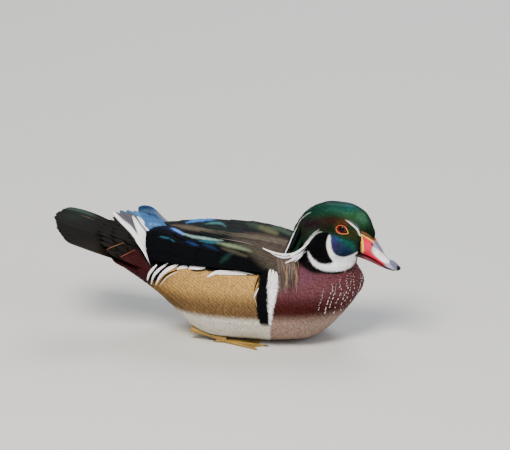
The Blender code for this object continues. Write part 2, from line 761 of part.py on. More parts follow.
def crest_place(up, turn, lift):
    return head_point(up, turn, GAP * 1.3 + crest_depth(up, turn) + lift)


def crest(draw):
    outer, inner = [], []
    turns = [math.tau * (j + 0.5) / HEAD_SIDES for j in range(CREST_SIDES[0], CREST_SIDES[1] + 1)]
    for i in range(CREST_RINGS[0], CREST_RINGS[1] + 1):
        up = ring_up(i)
        outer.append([crest_place(up, turn, 0.0) for turn in turns])
        inner.append([head_point(up, turn, GAP * 1.3) for turn in turns])
    pad = slab("crest", outer, inner)
    locks = []
    for count, root, tip, spread, half in CREST_TIERS:
        for i in range(count):
            turn = math.pi + mix(-spread, spread, i / (count - 1))
            start = root + draw.uniform(-0.0012, 0.0012)
            end = tip + draw.uniform(-0.0016, 0.0016)
            roll = math.copysign(SLATE_ROLL, turn - math.pi)
            ends = ((start, turn), (end, turn))
            locks.append(vane(crest_place, *ends, half, (-0.0012, 0.0013), LOCK, roll=roll))
    return join(pad, locks)


# Place in the foot's own plan: forward along the middle toe, outward, up.
def foot_place(side, forward, out, up):
    turn = Matrix.Rotation(side * FOOT_TURN_OUT, 3, "Z")
    spot = turn @ Vector((forward, side * out, 0.0))
    return Vector((FOOT_PLACE[0] + spot.x, side * FOOT_PLACE[1] + spot.y, up))


# Toe with a flat sole: a tapering loft along a line at an angle from the middle toe, and its claw.
def toe(side, angle, length, start):
    angle = math.radians(angle)
    rings = []
    for i in range(TOE_STEPS):
        share = i / (TOE_STEPS - 1)
        reach = mix(start, length, share)
        knuckle = 1.0 + KNUCKLE * math.sin(share * math.tau)
        half = TOE_WIDTH / 2 * mix(1.0, TOE_TAPER[0], share) * knuckle
        high = TOE_HEIGHT * mix(1.0, TOE_TAPER[1], share) * knuckle
        ring = []
        for across, up in ((-1.0, 0.0), (-1.1, 0.45), (-0.55, 0.95), (0.55, 0.95), (1.1, 0.45), (1.0, 0.0)):
            forward = reach * math.cos(angle) - half * across * math.sin(angle)
            out = reach * math.sin(angle) + half * across * math.cos(angle)
            ring.append(foot_place(side, forward, out, high * up))
        rings.append(ring)
    point = length + CLAW_LENGTH
    claw = foot_place(side, point * math.cos(angle), point * math.sin(angle), CLAW_HEIGHT)
    return loft("toe", rings, None, claw)


def web(side):
    rim = [(0.0, 0.0)]
    for i, (angle, length) in enumerate(TOES):
        a = math.radians(angle)
        rim.append((length * math.cos(a), length * math.sin(a)))
        if i < len(TOES) - 1:
            b = math.radians((angle + TOES[i + 1][0]) / 2)
            hollow = WEB_HOLLOW * (length + TOES[i + 1][1]) / 2
            rim.append((hollow * math.cos(b), hollow * math.sin(b)))
    low = [foot_place(side, f, o, 0.0) for f, o in rim]
    high = [p + Vector((0, 0, WEB_THICKNESS)) for p in low]
    return loft("web", [low, high])


def shank(side):
    ankle = foot_place(side, 0.0, 0.0, SHANK_RADIUS)
    heel = Vector((HEEL_PLACE[0], side * HEEL_PLACE[1], HEEL_PLACE[2]))
    thigh = heel + Vector((THIGH[0], -side * THIGH[1], THIGH[2]))
    rings = []
    for place, share in zip((ankle, ankle.lerp(heel, 0.5), heel, thigh), SHANK_SHARES):
        ring = []
        for j in range(SHANK_SIDES):
            turn = math.tau * j / SHANK_SIDES
            spot = Vector((SHANK_FLATNESS * math.sin(turn), math.cos(turn), math.sin(turn)))
            if place is thigh:
                spot = Vector((math.sin(turn), math.cos(turn), 0.0))
            ring.append(place + spot * SHANK_RADIUS * share)
        rings.append(ring)
    for point in rings[0]:
        point.z = max(point.z, 0.0)
    return loft("shank", rings)


def leg(side):
    foot = shank(side)
    pieces = [toe(side, angle, length, TOE_START) for angle, length in TOES]
    pieces += [toe(side, HIND_TOE_ANGLE, HIND_TOE_LENGTH, HIND_TOE_START), web(side)]
    return join(foot, pieces)


def main():
    remove_everything()
    draw = random.Random(7)
    brown = material("torso_feathers", (0.20, 0.09, 0.07), 0.6)
    green = material("head_feathers", (0.02, 0.12, 0.09), 0.4)
    dark = material("wing_feathers", (0.03, 0.05, 0.07), 0.4)
    black = material("tail_feathers", (0.03, 0.03, 0.025), 0.45)
    red = material("bill_horn", (0.60, 0.08, 0.05), 0.35)
    horn = material("foot_skin", (0.45, 0.30, 0.10), 0.5)
    iris = material("eye_glass", (0.50, 0.05, 0.02), 0.1)

    torso = body_shape("torso")
    room = [grown(torso) for _ in range(8)]
    torso = join(torso, flank_vanes(1) + flank_vanes(-1))

    whole = head_and_neck("head")
    throat = head_place(THROAT[0], 0, THROAT[1])
    nape = head_place(NAPE[0], 0, NAPE[1])
    aside = Matrix.Rotation(HEAD_TURN, 3, "Z") @ Vector((0, 1, 0))
    up = aside.cross(nape - throat).normalized()
    up = -up if up.z < 0 else up
    neck = whole.copy()
    neck.data = whole.data.copy()
    bpy.context.scene.collection.objects.link(neck)
    keep_side(neck, throat, up)
    keep_side(whole, throat + up * GAP, -up)
    neck = cut(neck, [room.pop()])

    upper = bill_half("bill_upper", BILL_ROWS, BILL_TIP, *BILL_SECTION)
    lower = bill_half("bill_lower", JAW_ROWS, JAW_TIP, *JAW_SECTION)
    lower = cut(lower, [grown(upper, MOUTH_GAP)])
    upper = cut(upper, [nostril(1), nostril(-1), wedge(GAP)])
    head = join(whole, [lid_ring(1), lid_ring(-1)])
    socket = bill_half("socket", BILL_ROWS, BILL_TIP, *BILL_SECTION, GAP)
    head = cut(head, [socket, grown(lower), eye_ball("cutter", 1, GAP), eye_ball("cutter", -1, GAP)])
    head = cut(join(head, [wedge()]), [room.pop()])

    wings = []
    for side in (1, -1):
        wings.append(cut(wing(side, draw), flank_vanes(side, GAP) + [grown(neck), room.pop()]))
    crown = cut(crest(draw), [room.pop(), grown(head), grown(wings[0]), grown(wings[1])])

    finish_node(torso, "torso", brown)
    finish_node(neck, "neck", green)
    finish_node(crown, "crest", green)
    finish_node(head, "head", green)
    finish_node(upper, "bill_upper", red)
    finish_node(lower, "bill_lower", red)
    finish_node(cut(tail(), flank_vanes(1, GAP) + flank_vanes(-1, GAP) + [room.pop()]), "tail", black)
    for side, word in ((1, "left"), (-1, "right")):
        finish_node(eye_ball("eye", side), "eye_" + word, iris)
        finish_node(cut(leg(side), [room.pop()]), "leg_" + word, horn)
        finish_node(wings[0 if side > 0 else 1], "wing_" + word, dark)


main()
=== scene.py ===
# Wood duck drake, life size: the plumage, bill, eyes and feet of a still museum model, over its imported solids.
# Metres, +Z up, +X to the breast, +Y to the bird's left.
import json
import math
import random

import bmesh
import bpy
import numpy as np
from mathutils import Matrix, Vector
from mathutils.bvhtree import BVHTree

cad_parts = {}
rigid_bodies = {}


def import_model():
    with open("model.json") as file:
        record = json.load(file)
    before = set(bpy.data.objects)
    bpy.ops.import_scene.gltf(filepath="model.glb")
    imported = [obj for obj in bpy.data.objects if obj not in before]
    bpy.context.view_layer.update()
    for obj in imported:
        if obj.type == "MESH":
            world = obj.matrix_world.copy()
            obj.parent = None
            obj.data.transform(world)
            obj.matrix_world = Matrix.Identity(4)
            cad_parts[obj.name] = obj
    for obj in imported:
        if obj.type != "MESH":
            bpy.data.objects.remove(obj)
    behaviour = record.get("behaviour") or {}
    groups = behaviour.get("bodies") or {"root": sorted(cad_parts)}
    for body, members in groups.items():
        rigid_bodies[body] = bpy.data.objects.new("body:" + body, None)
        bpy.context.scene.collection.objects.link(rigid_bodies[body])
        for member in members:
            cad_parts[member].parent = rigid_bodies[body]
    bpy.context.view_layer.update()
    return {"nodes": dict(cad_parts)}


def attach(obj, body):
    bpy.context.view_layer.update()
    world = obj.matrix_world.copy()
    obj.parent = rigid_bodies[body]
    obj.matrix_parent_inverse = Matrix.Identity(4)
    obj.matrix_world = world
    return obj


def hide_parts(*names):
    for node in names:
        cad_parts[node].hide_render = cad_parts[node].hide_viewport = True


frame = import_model()
print("solids loaded:", len(frame["nodes"]))

mm = 0.001

# The head turns to the bird's right about the neck. Places on it are (forward, left, up) from between the eyes.
head = {"neckX": 0.0876, "eyeForward": 0.0170, "eyeHeight": 0.1226, "turn": math.radians(-15.0)}
headSpin = np.array(Matrix.Rotation(head["turn"], 3, "Z"))
headPivot = np.array((head["neckX"], 0.0, head["eyeHeight"]))

# The camera of the photograph, which also serves to say where a marking lies: see markingPlace.
view = {
    "azimuth": math.radians(10.0),
    "elevation": math.radians(18.0),
    "pixel": 1.03 * mm,
    "bodyMiddle": (250, 292.5),  # where (0, 0, floatLevel) falls in the picture
    "floatLevel": 0.042,
    "distance": 15.0,
    "width": 510,
    "height": 450,
    "sensor": 36.0,
}
viewBack = Vector((
    math.sin(view["azimuth"]) * math.cos(view["elevation"]),
    -math.cos(view["azimuth"]) * math.cos(view["elevation"]),
    math.sin(view["elevation"]),
))
viewRight = Vector((math.cos(view["azimuth"]), math.sin(view["azimuth"]), 0.0))
viewUp = viewBack.cross(viewRight)


def hexColour(code):
    parts = [int(code[i:i + 2], 16) / 255 for i in (0, 2, 4)]
    return np.array([c / 12.92 if c <= 0.04045 else ((c + 0.055) / 1.055) ** 2.4 for c in parts])


def smoothStep(low, high, value):
    share = np.clip((value - low) / (high - low), 0.0, 1.0)
    return share * share * (3 - 2 * share)


def mix(a, b, share):
    return a + (b - a) * share


def headPlace(forward, left, up):
    return Vector(headPivot + headSpin @ np.array((forward + head["eyeForward"], left, up)))


def headLocal(points):
    local = (np.asarray(points) - headPivot) @ headSpin
    local[:, 0] -= head["eyeForward"]
    return local


# Smooth curve through a few points, as many samples as asked.
def curveThrough(points, samples=40, closed=False):
    points = np.array(points, float)
    if closed:
        padded = np.vstack((points[-1:], points, points[:2]))
    else:
        padded = np.vstack((2 * points[0] - points[1], points, 2 * points[-1] - points[-2]))
    spans = len(padded) - 3
    out = []
    for place in np.linspace(0, spans, samples, endpoint=not closed):
        i = min(int(place), spans - 1)
        t = place - i
        a, b, c, d = padded[i:i + 4]
        out.append(0.5 * (2 * b + (c - a) * t + (2 * a - 5 * b + 4 * c - d) * t * t + (3 * b - a - 3 * c + d) * t ** 3))
    return np.array(out)


# Where a marking lies: both sides of the bird as the photograph's camera sees the near one, in its pixels.
def picturePlace(points):
    points = np.asarray(points)
    right, up = np.array(viewRight), np.array(viewUp)
    across = view["bodyMiddle"][0] + (points @ right) / view["pixel"]
    down = view["bodyMiddle"][1] - ((points - (0, 0, view["floatLevel"])) @ up) / view["pixel"]
    return np.column_stack((across, down))


def markingPlace(points, onHead=False):
    points = np.array(points, float)
    if onHead:
        local = headLocal(points)
        local[:, 1] = -np.abs(local[:, 1])
        local[:, 0] += head["eyeForward"]
        points = local @ headSpin.T + headPivot
    else:
        points[:, 1] = -np.abs(points[:, 1])
    return picturePlace(points)


def distanceToLine(places, line, closed=False):
    ends = np.roll(line, -1, axis=0) if closed else line[1:]
    starts = line if closed else line[:-1]
    best = np.full(len(places), 1e9)
    share = np.zeros(len(places))
    for i, (a, b) in enumerate(zip(starts, ends)):
        step = b - a
        t = np.clip(((places - a) @ step) / max(step @ step, 1e-9), 0, 1)
        far = np.hypot(*(places - a - t[:, None] * step).T)
        nearer = far < best
        best[nearer] = far[nearer]
        share[nearer] = (i + t[nearer]) / len(starts)
    return best, share


def insideOf(places, outline):
    inside = np.zeros(len(places), bool)
    x, y = places.T
    for (ax, ay), (bx, by) in zip(outline, np.roll(outline, -1, axis=0)):
        crosses = (ay > y) != (by > y)
        if ay != by:
            inside ^= crosses & (x < (bx - ax) * (y - ay) / (by - ay) + ax)
    return inside


# How strongly a patch with this outline covers each place, soft over some pixels at its edge.
def patchCover(places, outline, soft=0.8, samples=60):
    outline = curveThrough(outline, samples, closed=True)
    low, high = outline.min(0) - soft * 2, outline.max(0) + soft * 2
    near = np.all((places > low) & (places < high), axis=1)
    cover = np.zeros(len(places))
    if near.any():
        far, _ = distanceToLine(places[near], outline, closed=True)
        signed = np.where(insideOf(places[near], outline), -far, far)
        cover[near] = 1 - smoothStep(-soft, soft, signed)
    return cover


# How strongly a line covers each place: its widths are half widths along it, in pixels.
def lineCover(places, points, widths, soft=0.6, samples=40):
    line = curveThrough(points, samples)
    reach = max(widths) + 2 * soft
    low, high = line.min(0) - reach, line.max(0) + reach
    near = np.all((places > low) & (places < high), axis=1)
    cover = np.zeros(len(places))
    if near.any():
        far, share = distanceToLine(places[near], line)
        half = np.interp(share, np.linspace(0, 1, len(widths)), widths)
        cover[near] = 1 - smoothStep(half - soft, half + soft, far)
    return cover


def plainColours(points, code):
    return np.tile(hexColour(code), (len(points), 1))


def paint(colours, cover, code):
    colours += (hexColour(code) - colours) * np.asarray(cover)[:, None]


# Lines of colour, each as points, half widths, colour and softness, and the share of them that shows.
def paintLines(colours, places, lines, share=1.0):
    for points, widths, code, soft in lines:
        paint(colours, lineCover(places, points, widths, soft) * share, code)


def spot(places, x, y, wide, high):
    return np.exp(-(((places[:, 0] - x) / wide) ** 2 + ((places[:, 1] - y) / high) ** 2))


def addNode(tree, kind, settings=None, links=None, **named):
    node = tree.nodes.new(kind)
    for key, value in {**(settings or {}), **named}.items():
        if key in node.inputs if isinstance(key, str) else True:
            node.inputs[key].default_value = value
        else:
            setattr(node, key, value)
    for socket, source in (links or {}).items():
        tree.links.new(source, node.inputs[socket])
    return node


def startMaterial(name):
    material = bpy.data.materials.new(name)
    material.use_nodes = True
    return material, material.node_tree


def setShader(material, settings, links):
    shader = material.node_tree.nodes["Principled BSDF"]
    for key, value in settings.items():
        shader.inputs[key].default_value = value
    for key, source in links.items():
        material.node_tree.links.new(source, shader.inputs[key])
    return material


# The painted colour of a piece, times a tone.
def tonedColour(tree, tone):
    colour = addNode(tree, "ShaderNodeAttribute", attribute_name="plumage")
    toned = addNode(tree, "ShaderNodeVectorMath", {"operation": "SCALE"}, {0: colour.outputs["Color"], "Scale": tone})
    return toned.outputs["Vector"]


# A pattern that reads the Object coordinates.
def addPattern(tree, kind, settings):
    return addNode(tree, kind, settings, {"Vector": addNode(tree, "ShaderNodeTexCoord").outputs["Object"]})


# Ends a bmesh: its faces shaded smooth, its shape written to the mesh.
def finishShape(shape, mesh):
    for face in shape.faces:
        face.smooth = True
    shape.to_mesh(mesh)
    shape.free()
    return mesh


def linkPiece(name, mesh, material, *replaced, slot=None):
    piece = bpy.data.objects.new(name, mesh)
    bpy.context.scene.collection.objects.link(piece)
    mesh.materials.clear()
    mesh.materials.append(material)
    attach(piece, "root")
    if replaced:
        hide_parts(*replaced)
    print("piece", name, len(mesh.polygons), "faces")
    return piece


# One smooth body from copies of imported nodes: merged, grown a little, remeshed and softened. It stays a bmesh, and
# comes with the mesh that it is to be written to.
def softCopy(names, voxel, rounds, grow=0.3 * mm):
    shape = bmesh.new()
    for name in names:
        shape.from_mesh(frame["nodes"][name].data)
    bmesh.ops.remove_doubles(shape, verts=shape.verts, dist=1e-6)
    shape.normal_update()
    for vert in shape.verts:
        vert.co += vert.normal * grow
    mesh = bpy.data.meshes.new("copy")
    shape.to_mesh(mesh)
    shape.free()
    helper = bpy.data.objects.new("copy", mesh)
    bpy.context.scene.collection.objects.link(helper)
    remesh = helper.modifiers.new("remesh", "REMESH")
    remesh.mode = "VOXEL"
    remesh.voxel_size = voxel
    graph = bpy.context.evaluated_depsgraph_get()
    done = bpy.data.meshes.new_from_object(helper.evaluated_get(graph), depsgraph=graph)
    bpy.data.objects.remove(helper, do_unlink=True)
    shape = bmesh.new()
    shape.from_mesh(done)
    for _ in range(rounds):
        bmesh.ops.smooth_vert(
            shape, verts=shape.verts, factor=0.5, use_axis_x=True, use_axis_y=True, use_axis_z=True
        )
    shape.normal_update()
    return shape, done


def meshArrays(mesh):
    points = np.zeros(len(mesh.vertices) * 3)
    mesh.vertices.foreach_get("co", points)
    normals = np.zeros(len(mesh.vertices) * 3)
    mesh.vertices.foreach_get("normal", normals)
    return points.reshape(-1, 3), normals.reshape(-1, 3)


def setColours(mesh, colours, gloss, bars=None):
    layer = mesh.attributes.new("plumage", "FLOAT_COLOR", "POINT")
    layer.data.foreach_set("color", np.column_stack((colours, np.ones(len(colours)))).ravel())
    shine = mesh.attributes.new("gloss", "FLOAT", "POINT")
    shine.data.foreach_set("value", np.asarray(gloss, float))
    fine = mesh.attributes.new("fineBars", "FLOAT", "POINT")
    fine.data.foreach_set("value", np.zeros(len(colours)) if bars is None else bars)


def placeInPicture(across, down):
    return (
        Vector((0, 0, view["floatLevel"]))
        + viewRight * (across - view["bodyMiddle"][0]) * view["pixel"]
        + viewUp * (view["bodyMiddle"][1] - down) * view["pixel"]
    )


camera = bpy.data.objects.new("camera", bpy.data.cameras.new("camera"))
bpy.context.scene.collection.objects.link(camera)
turnTo = Matrix((viewRight, viewUp, viewBack)).transposed().to_4x4()
turnTo.translation = placeInPicture(view["width"] / 2, view["height"] / 2) + viewBack * view["distance"]
camera.matrix_world = turnTo
camera.data.sensor_width = view["sensor"]
camera.data.lens = view["sensor"] * view["distance"] / (view["width"] * view["pixel"])
camera.data.clip_end = 50.0
bpy.context.scene.camera = camera

studio = {
    "floorSize": 12.0,
    "floorColour": "cfcdc8",
    "floorRoughness": 0.9,
    "worldColour": "cfd4da",
    "worldStrength": 0.60,
    "aimAt": (0, 0, 0.07),
    # name: place, size, watts, colour
    "lights": {
        "keyLight": ((-0.5, -1.6, 2.2), 1.1, 104, "fffaf2"),
        "fillLight": ((1.8, -1.2, 1.1), 1.4, 20, "eef4ff"),
        "backLight": ((0.1, 1.7, 1.9), 1.2, 38, "f1f6ff"),
    },
}


def makeStage():
    shape = bmesh.new()
    bmesh.ops.create_grid(shape, x_segments=1, y_segments=1, size=studio["floorSize"] / 2)
    mesh = bpy.data.meshes.new("floor")
    shape.to_mesh(mesh)
    shape.free()
    floor = bpy.data.objects.new("floor", mesh)
    bpy.context.scene.collection.objects.link(floor)
    paper, _ = startMaterial("mattBackdropPaper")  # even and pale, so that the bird alone holds the eye
    setShader(paper, {"Base Color": (*hexColour(studio["floorColour"]), 1), "Roughness": studio["floorRoughness"]}, {})
    mesh.materials.append(paper)
    world = bpy.data.worlds.new("studio")
    bpy.context.scene.world = world
    world.use_nodes = True
    background = world.node_tree.nodes["Background"]
    background.inputs["Color"].default_value = (*hexColour(studio["worldColour"]), 1)
    background.inputs["Strength"].default_value = studio["worldStrength"]
    for name, (place, size, watts, colour) in studio["lights"].items():
        light = bpy.data.lights.new(name, "AREA")
        light.size = size
        light.energy = watts
        light.color = hexColour(colour)
        lamp = bpy.data.objects.new(name, light)
        bpy.context.scene.collection.objects.link(lamp)
        aim = (Vector(studio["aimAt"]) - Vector(place)).to_track_quat("-Z", "Y")
        lamp.matrix_world = Matrix.Translation(place) @ aim.to_matrix().to_4x4()


makeStage()
print("stage and camera set")


# What all the feathers' materials share: a painted colour times a tone, and a painted gloss, which stands for the oily
# structural colour of the dark feathers with a lower roughness and a metallic share.
def featherMaterial(material, look, tone, height):
    tree = material.node_tree
    gloss = addNode(tree, "ShaderNodeAttribute", attribute_name="gloss")
    rough = addNode(
        tree, "ShaderNodeMapRange", {"To Min": look["roughDull"], "To Max": look["roughGlossy"]},
        {"Value": gloss.outputs["Fac"]},
    )
    metal = addNode(
        tree, "ShaderNodeMapRange", {"To Min": 0.0, "To Max": look["metalGlossy"]}, {"Value": gloss.outputs["Fac"]}
    )
    bump = addNode(
        tree, "ShaderNodeBump", {"Strength": look["bump"], "Distance": look["barbHeight"]}, {"Height": height}
    )
    return setShader(material, {"Specular IOR Level": look["specular"]}, {
        "Base Color": tonedColour(tree, tone), "Roughness": rough.outputs["Result"],
        "Metallic": metal.outputs["Result"], "Normal": bump.outputs["Normal"],
    })


# Contour feathers: keratin barbs that lie close, so they give a soft, broad shine.
contourLook = {
    "roughDull": 0.70,
    "roughGlossy": 0.40,
    "metalGlossy": 0.50,
    "specular": 0.05,
    "barSpacing": 1.2 * mm,  # the real flank's bars are under 1 mm apart: drawn coarser so that they show
    "barDepth": 0.26,
    "barbGrain": 0.8 * mm,
    "barbDepth": 0.12,
    "barbHeight": 0.15 * mm,
    "bump": 0.2,
}


def contourMaterial():
    look = contourLook
    material, tree = startMaterial("contourFeatherBarbs")
    bars = addNode(tree, "ShaderNodeAttribute", attribute_name="fineBars")
    grain = addPattern(
        tree, "ShaderNodeTexNoise", {"Scale": 1 / look["barbGrain"] / 2, "Detail": 3.0, "Roughness": 0.6}
    )
    shade = addNode(
        tree, "ShaderNodeMapRange",
        {"From Min": 0.3, "From Max": 0.7, "To Min": 1 - look["barbDepth"], "To Max": 1 + look["barbDepth"]},
        {"Value": grain.outputs["Fac"]},
    )
    waves = addPattern(
        tree, "ShaderNodeTexWave",
        {"bands_direction": "DIAGONAL", "Scale": math.tau / look["barSpacing"] / 20 * 0.58, "Distortion": 4.0,
         "Detail": 2.0, "Detail Scale": 3.0},
    )
    line = addNode(
        tree, "ShaderNodeMapRange", {"From Min": 0.35, "From Max": 0.75, "To Min": 0.0, "To Max": look["barDepth"]},
        {"Value": waves.outputs["Fac"]},
    )
    barred = addNode(
        tree, "ShaderNodeMath", {"operation": "MULTIPLY"}, {0: line.outputs["Result"], 1: bars.outputs["Fac"]}
    )
    keep = addNode(tree, "ShaderNodeMath", {"operation": "SUBTRACT", 0: 1.0}, {1: barred.outputs["Value"]})
    tone = addNode(
        tree, "ShaderNodeMath", {"operation": "MULTIPLY"}, {0: shade.outputs["Result"], 1: keep.outputs["Value"]}
    )
    return featherMaterial(material, look, tone.outputs["Value"], grain.outputs["Fac"])


contourFeather = contourMaterial()

# Flight and tail feathers: a stiff shaft and parallel barbs at an angle to it, closer and glossier than down.
vaneLook = {
    "roughDull": 0.60,
    "roughGlossy": 0.36,
    "metalGlossy": 0.5,
    "specular": 0.03,
    "barbsPerLength": 46.0,
    "barbSlant": 0.45,
    "barbDepth": 0.13,
    "barbHeight": 0.15 * mm,
    "bump": 0.3,
    "shaftHalf": 0.045,
    "shaftTone": 0.65,
}


def vaneMaterial():
    look = vaneLook
    material, tree = startMaterial("flightFeatherVane")
    blade = addNode(tree, "ShaderNodeUVMap", uv_map="blade")
    parts = addNode(tree, "ShaderNodeSeparateXYZ", None, {0: blade.outputs["UV"]})
    centred = addNode(tree, "ShaderNodeMath", {"operation": "SUBTRACT", 1: 0.5}, {0: parts.outputs["X"]})
    aside = addNode(tree, "ShaderNodeMath", {"operation": "ABSOLUTE"}, {0: centred.outputs["Value"]})
    slant = addNode(
        tree, "ShaderNodeMath", {"operation": "MULTIPLY_ADD", 1: -look["barbSlant"]},
        {0: aside.outputs["Value"], 2: parts.outputs["Y"]},
    )
    turns = addNode(
        tree, "ShaderNodeMath", {"operation": "MULTIPLY", 1: look["barbsPerLength"] * math.tau},
        {0: slant.outputs["Value"]},
    )
    wave = addNode(tree, "ShaderNodeMath", {"operation": "SINE"}, {0: turns.outputs["Value"]})
    shade = addNode(
        tree, "ShaderNodeMapRange",
        {"From Min": -1.0, "To Min": 1 - look["barbDepth"], "To Max": 1 + look["barbDepth"]},
        {"Value": wave.outputs["Value"]},
    )
    shaft = addNode(
        tree, "ShaderNodeMapRange",
        {"From Min": look["shaftHalf"] * 0.5, "From Max": look["shaftHalf"], "To Min": look["shaftTone"],
         "To Max": 1.0},
        {"Value": aside.outputs["Value"]},
    )
    tone = addNode(
        tree, "ShaderNodeMath", {"operation": "MULTIPLY"}, {0: shade.outputs["Result"], 1: shaft.outputs["Result"]}
    )
    return featherMaterial(material, look, tone.outputs["Value"], wave.outputs["Value"])


flightVane = vaneMaterial()


# Every place is in the photograph's pixels, about 1.03 mm each: across, down.

headMarks = {
    "brow": [(359.6, 235.4), (357, 229.8), (352.6, 225.4), (348.6, 222.2), (345, 219.8)],
    "crestEdge": [(310.6, 212.2), (306, 215), (300.6, 219.6), (298, 224.6), (294.8, 231.4), (290.6, 239.6),
                  (284.8, 253)],
    "crestStripe": [(322, 231.6), (317, 232.8), (312.4, 236.8), (307.6, 242.6), (302.6, 248.6),
                    (296, 253.8), (289, 258)],
    "crestStrand": [(319, 229.4), (314, 233), (310, 237.6), (305.6, 243.2), (300.6, 249.4)],
    "cheek": [(328, 236), (332.5, 235.2), (339, 237.4), (346, 240), (353, 242.6), (357, 248),
              (355, 253.6), (348, 256.4), (340, 257.6), (333, 255), (329, 247)],
    "bridle": [(329, 234.8), (330.2, 237.4), (330.4, 243), (331.8, 250), (335.8, 255), (343.6, 257),
               (352, 254.4), (357, 251.8), (356.6, 256), (354.8, 262.5), (350, 267.4), (341, 270.8),
               (328, 271.4), (317, 268), (310, 260.8), (307.2, 251.2), (309.4, 253.6), (313.6, 259.6),
               (320, 263.4), (328, 264.2), (333, 262), (329.6, 256.5), (326.8, 248.5), (326.6, 241)],
    "patch": [(322, 232.6), (328.6, 233.5), (327.4, 241), (327.8, 249), (331, 257), (334.5, 261.5),
              (328, 264.8), (319, 264.4), (312.5, 260.6), (308.4, 254), (307, 247.5), (311, 241),
              (316, 235.6)],
    "collar": [(305, 249), (308.4, 262), (317, 269.8), (328, 272.8), (341, 272.2), (351.6, 268.6)],
    "nape": [(301, 252), (307, 249), (309.6, 258), (316, 267), (324, 272.6), (313, 273),
             (304, 268), (299, 262)],
    # the white lines and their half widths
    "whiteLines": {
        "brow": [0.55, 0.75, 0.75, 0.5, 0.05],
        "crestStripe": [0, 0.2, 0.45, 0.75, 1.2, 1.6, 1.4],
        "crestStrand": [0, 0.2, 0.3, 0.35, 0.2],
        "crestEdge": [0, 0.1, 0.15, 0, 0.4, 0.8, 0.8],
    },
    "whiteSoft": 0.7,
    "patchSoft": 0.9,
    "napeSoft": 2.0,
    "fineSamples": 130,  # for the outlines that have narrow points
}


def headColours(points):
    places = markingPlace(points, onHead=True)
    x, y = places.T
    colours = plainColours(points, "16331f")
    gloss = np.full(len(points), 0.62)
    paint(colours, smoothStep(226, 206, y), "0f3427")
    # painted highlight: teal on the top of the crown, where its iridescent green shines in the light
    paint(colours, spot(places, 352, 206, 15, 6), "16514f")
    paint(colours, spot(places, 334, 207, 14, 6) * 0.7, "0f3a2e")
    paint(colours, spot(places, 362, 217, 8, 8), "39644a")
    paint(colours, spot(places, 350, 216, 10, 4) * 0.7, "2b5834")
    paint(colours, smoothStep(222, 236, y) * smoothStep(352, 366, x), "10180d")
    paint(colours, spot(places, 312, 224, 14, 6), "26141f")
    paint(colours, spot(places, 330, 220.5, 12, 4.5), "301a15")
    paint(colours, spot(places, 326, 228, 12, 5) * 0.8, "1b160f")
    paint(colours, spot(places, 343, 223, 8, 4) * 0.8, "51290f")
    paint(colours, spot(places, 352, 234, 8, 5) * 0.9, "36321a")
    paint(colours, spot(places, 296, 238, 5, 10), "143a25")
    paint(colours, spot(places, 304, 232, 5, 8) * 0.8, "271c1c")
    paint(colours, smoothStep(250, 264, y) * (x < 312), "0c1413")
    nape = smoothStep(262, 268, y) * smoothStep(322, 306, x)
    paint(colours, nape, "2a1719")
    gloss -= 0.5 * nape
    # the dark line along the top of the crown and the crest's rear
    local = headLocal(points)
    paint(colours, smoothStep(4.5 * mm, 1.0 * mm, np.abs(local[:, 1])) * 0.45, "0b201b")
    paint(colours, lineCover(places, [(347.6, 219.6), (353.8, 223.4), (358.8, 229.2)], [0.2, 0.6, 0.3], 0.6), "63726f")
    cheek = patchCover(places, headMarks["cheek"], 2.6)
    under = plainColours(points, "1c4348")
    paint(under, spot(places, 333, 241, 5, 6), "35366e")
    paint(under, spot(places, 336, 248, 6, 6), "30244f")
    paint(under, spot(places, 345, 251, 7, 4.5), "1a2748")
    paint(under, spot(places, 339, 238.5, 4, 3), "285070")
    paint(under, lineCover(places, [(340, 237.5), (345.5, 241.0), (351.0, 245.5), (354.0, 249.5)],
                           [1, 2, 2, 1], 2.2), "0f5a47")
    paint(under, spot(places, 357.5, 244, 3, 6), "303418")
    paint(under, smoothStep(250, 256, y) * 0.8, "14152e")
    colours += (under - colours) * cheek[:, None]
    patch = patchCover(places, headMarks["patch"], headMarks["patchSoft"])
    paint(colours, patch, "050507")
    gloss = gloss * (1 - 0.75 * patch)
    paint(colours, patchCover(places, headMarks["nape"], headMarks["napeSoft"]), "100b0d")
    paint(colours, lineCover(places, headMarks["collar"], [0.6, 1.2, 1.2, 1.0, 0.7]), "0a0708")
    white = patchCover(places, headMarks["bridle"], headMarks["whiteSoft"], headMarks["fineSamples"])
    for name, widths in headMarks["whiteLines"].items():
        white = np.maximum(white, lineCover(places, headMarks[name], widths, 0.5))
    pale = plainColours(points, "fdfcfc")
    # painted shade: lavender-grey over the lower chin's white, and a spot of it just under the cheek
    paint(pale, smoothStep(264, 273, y) * 0.6, "c9c4d6")
    paint(pale, spot(places, 338, 257, 7, 2.4) * 0.5, "bdb7cc")
    colours += (pale - colours) * white[:, None]
    gloss *= 1 - white
    return colours, gloss


bodyMarks = {
    "whiteBar": [(269.2, 269.4), (272.5, 268.8), (276, 270.8), (278.4, 275), (278, 283), (276.6, 292),
                 (274.8, 301), (272.6, 311), (271, 325), (269.4, 325), (268.8, 312), (268.2, 302),
                 (268, 290), (268, 277)],
    "blackBar": [(267.8, 267), (268.4, 280), (268.6, 292), (268.8, 304), (269.2, 314), (270, 325),
                 (261, 325), (256.8, 314), (256, 304), (255.6, 295), (256.8, 290), (258, 284),
                 (259, 277), (262.6, 270.6)],
    # right edge of the white bar, where the breast begins: down, across
    "breastEdge": ((268, 277.6), (283, 277.4), (300, 275), (313, 272.4), (325, 270.6)),
    "maroon": [(112, 262.5), (118.5, 259.5), (128, 253.8), (137, 248.6), (147, 262), (152, 268),
               (149.5, 283.5), (140, 283), (128, 274.5)],
    "hip": [(140, 246), (152, 246), (162, 260), (156, 268), (149, 270)],
    "flankTop": [(152, 282), (156, 273), (164, 267), (178, 267.5), (196, 268.6), (208, 271),
                 (228, 274.2), (250, 275.4), (262, 275)],
    "flankTopHalf": 6.0,
}


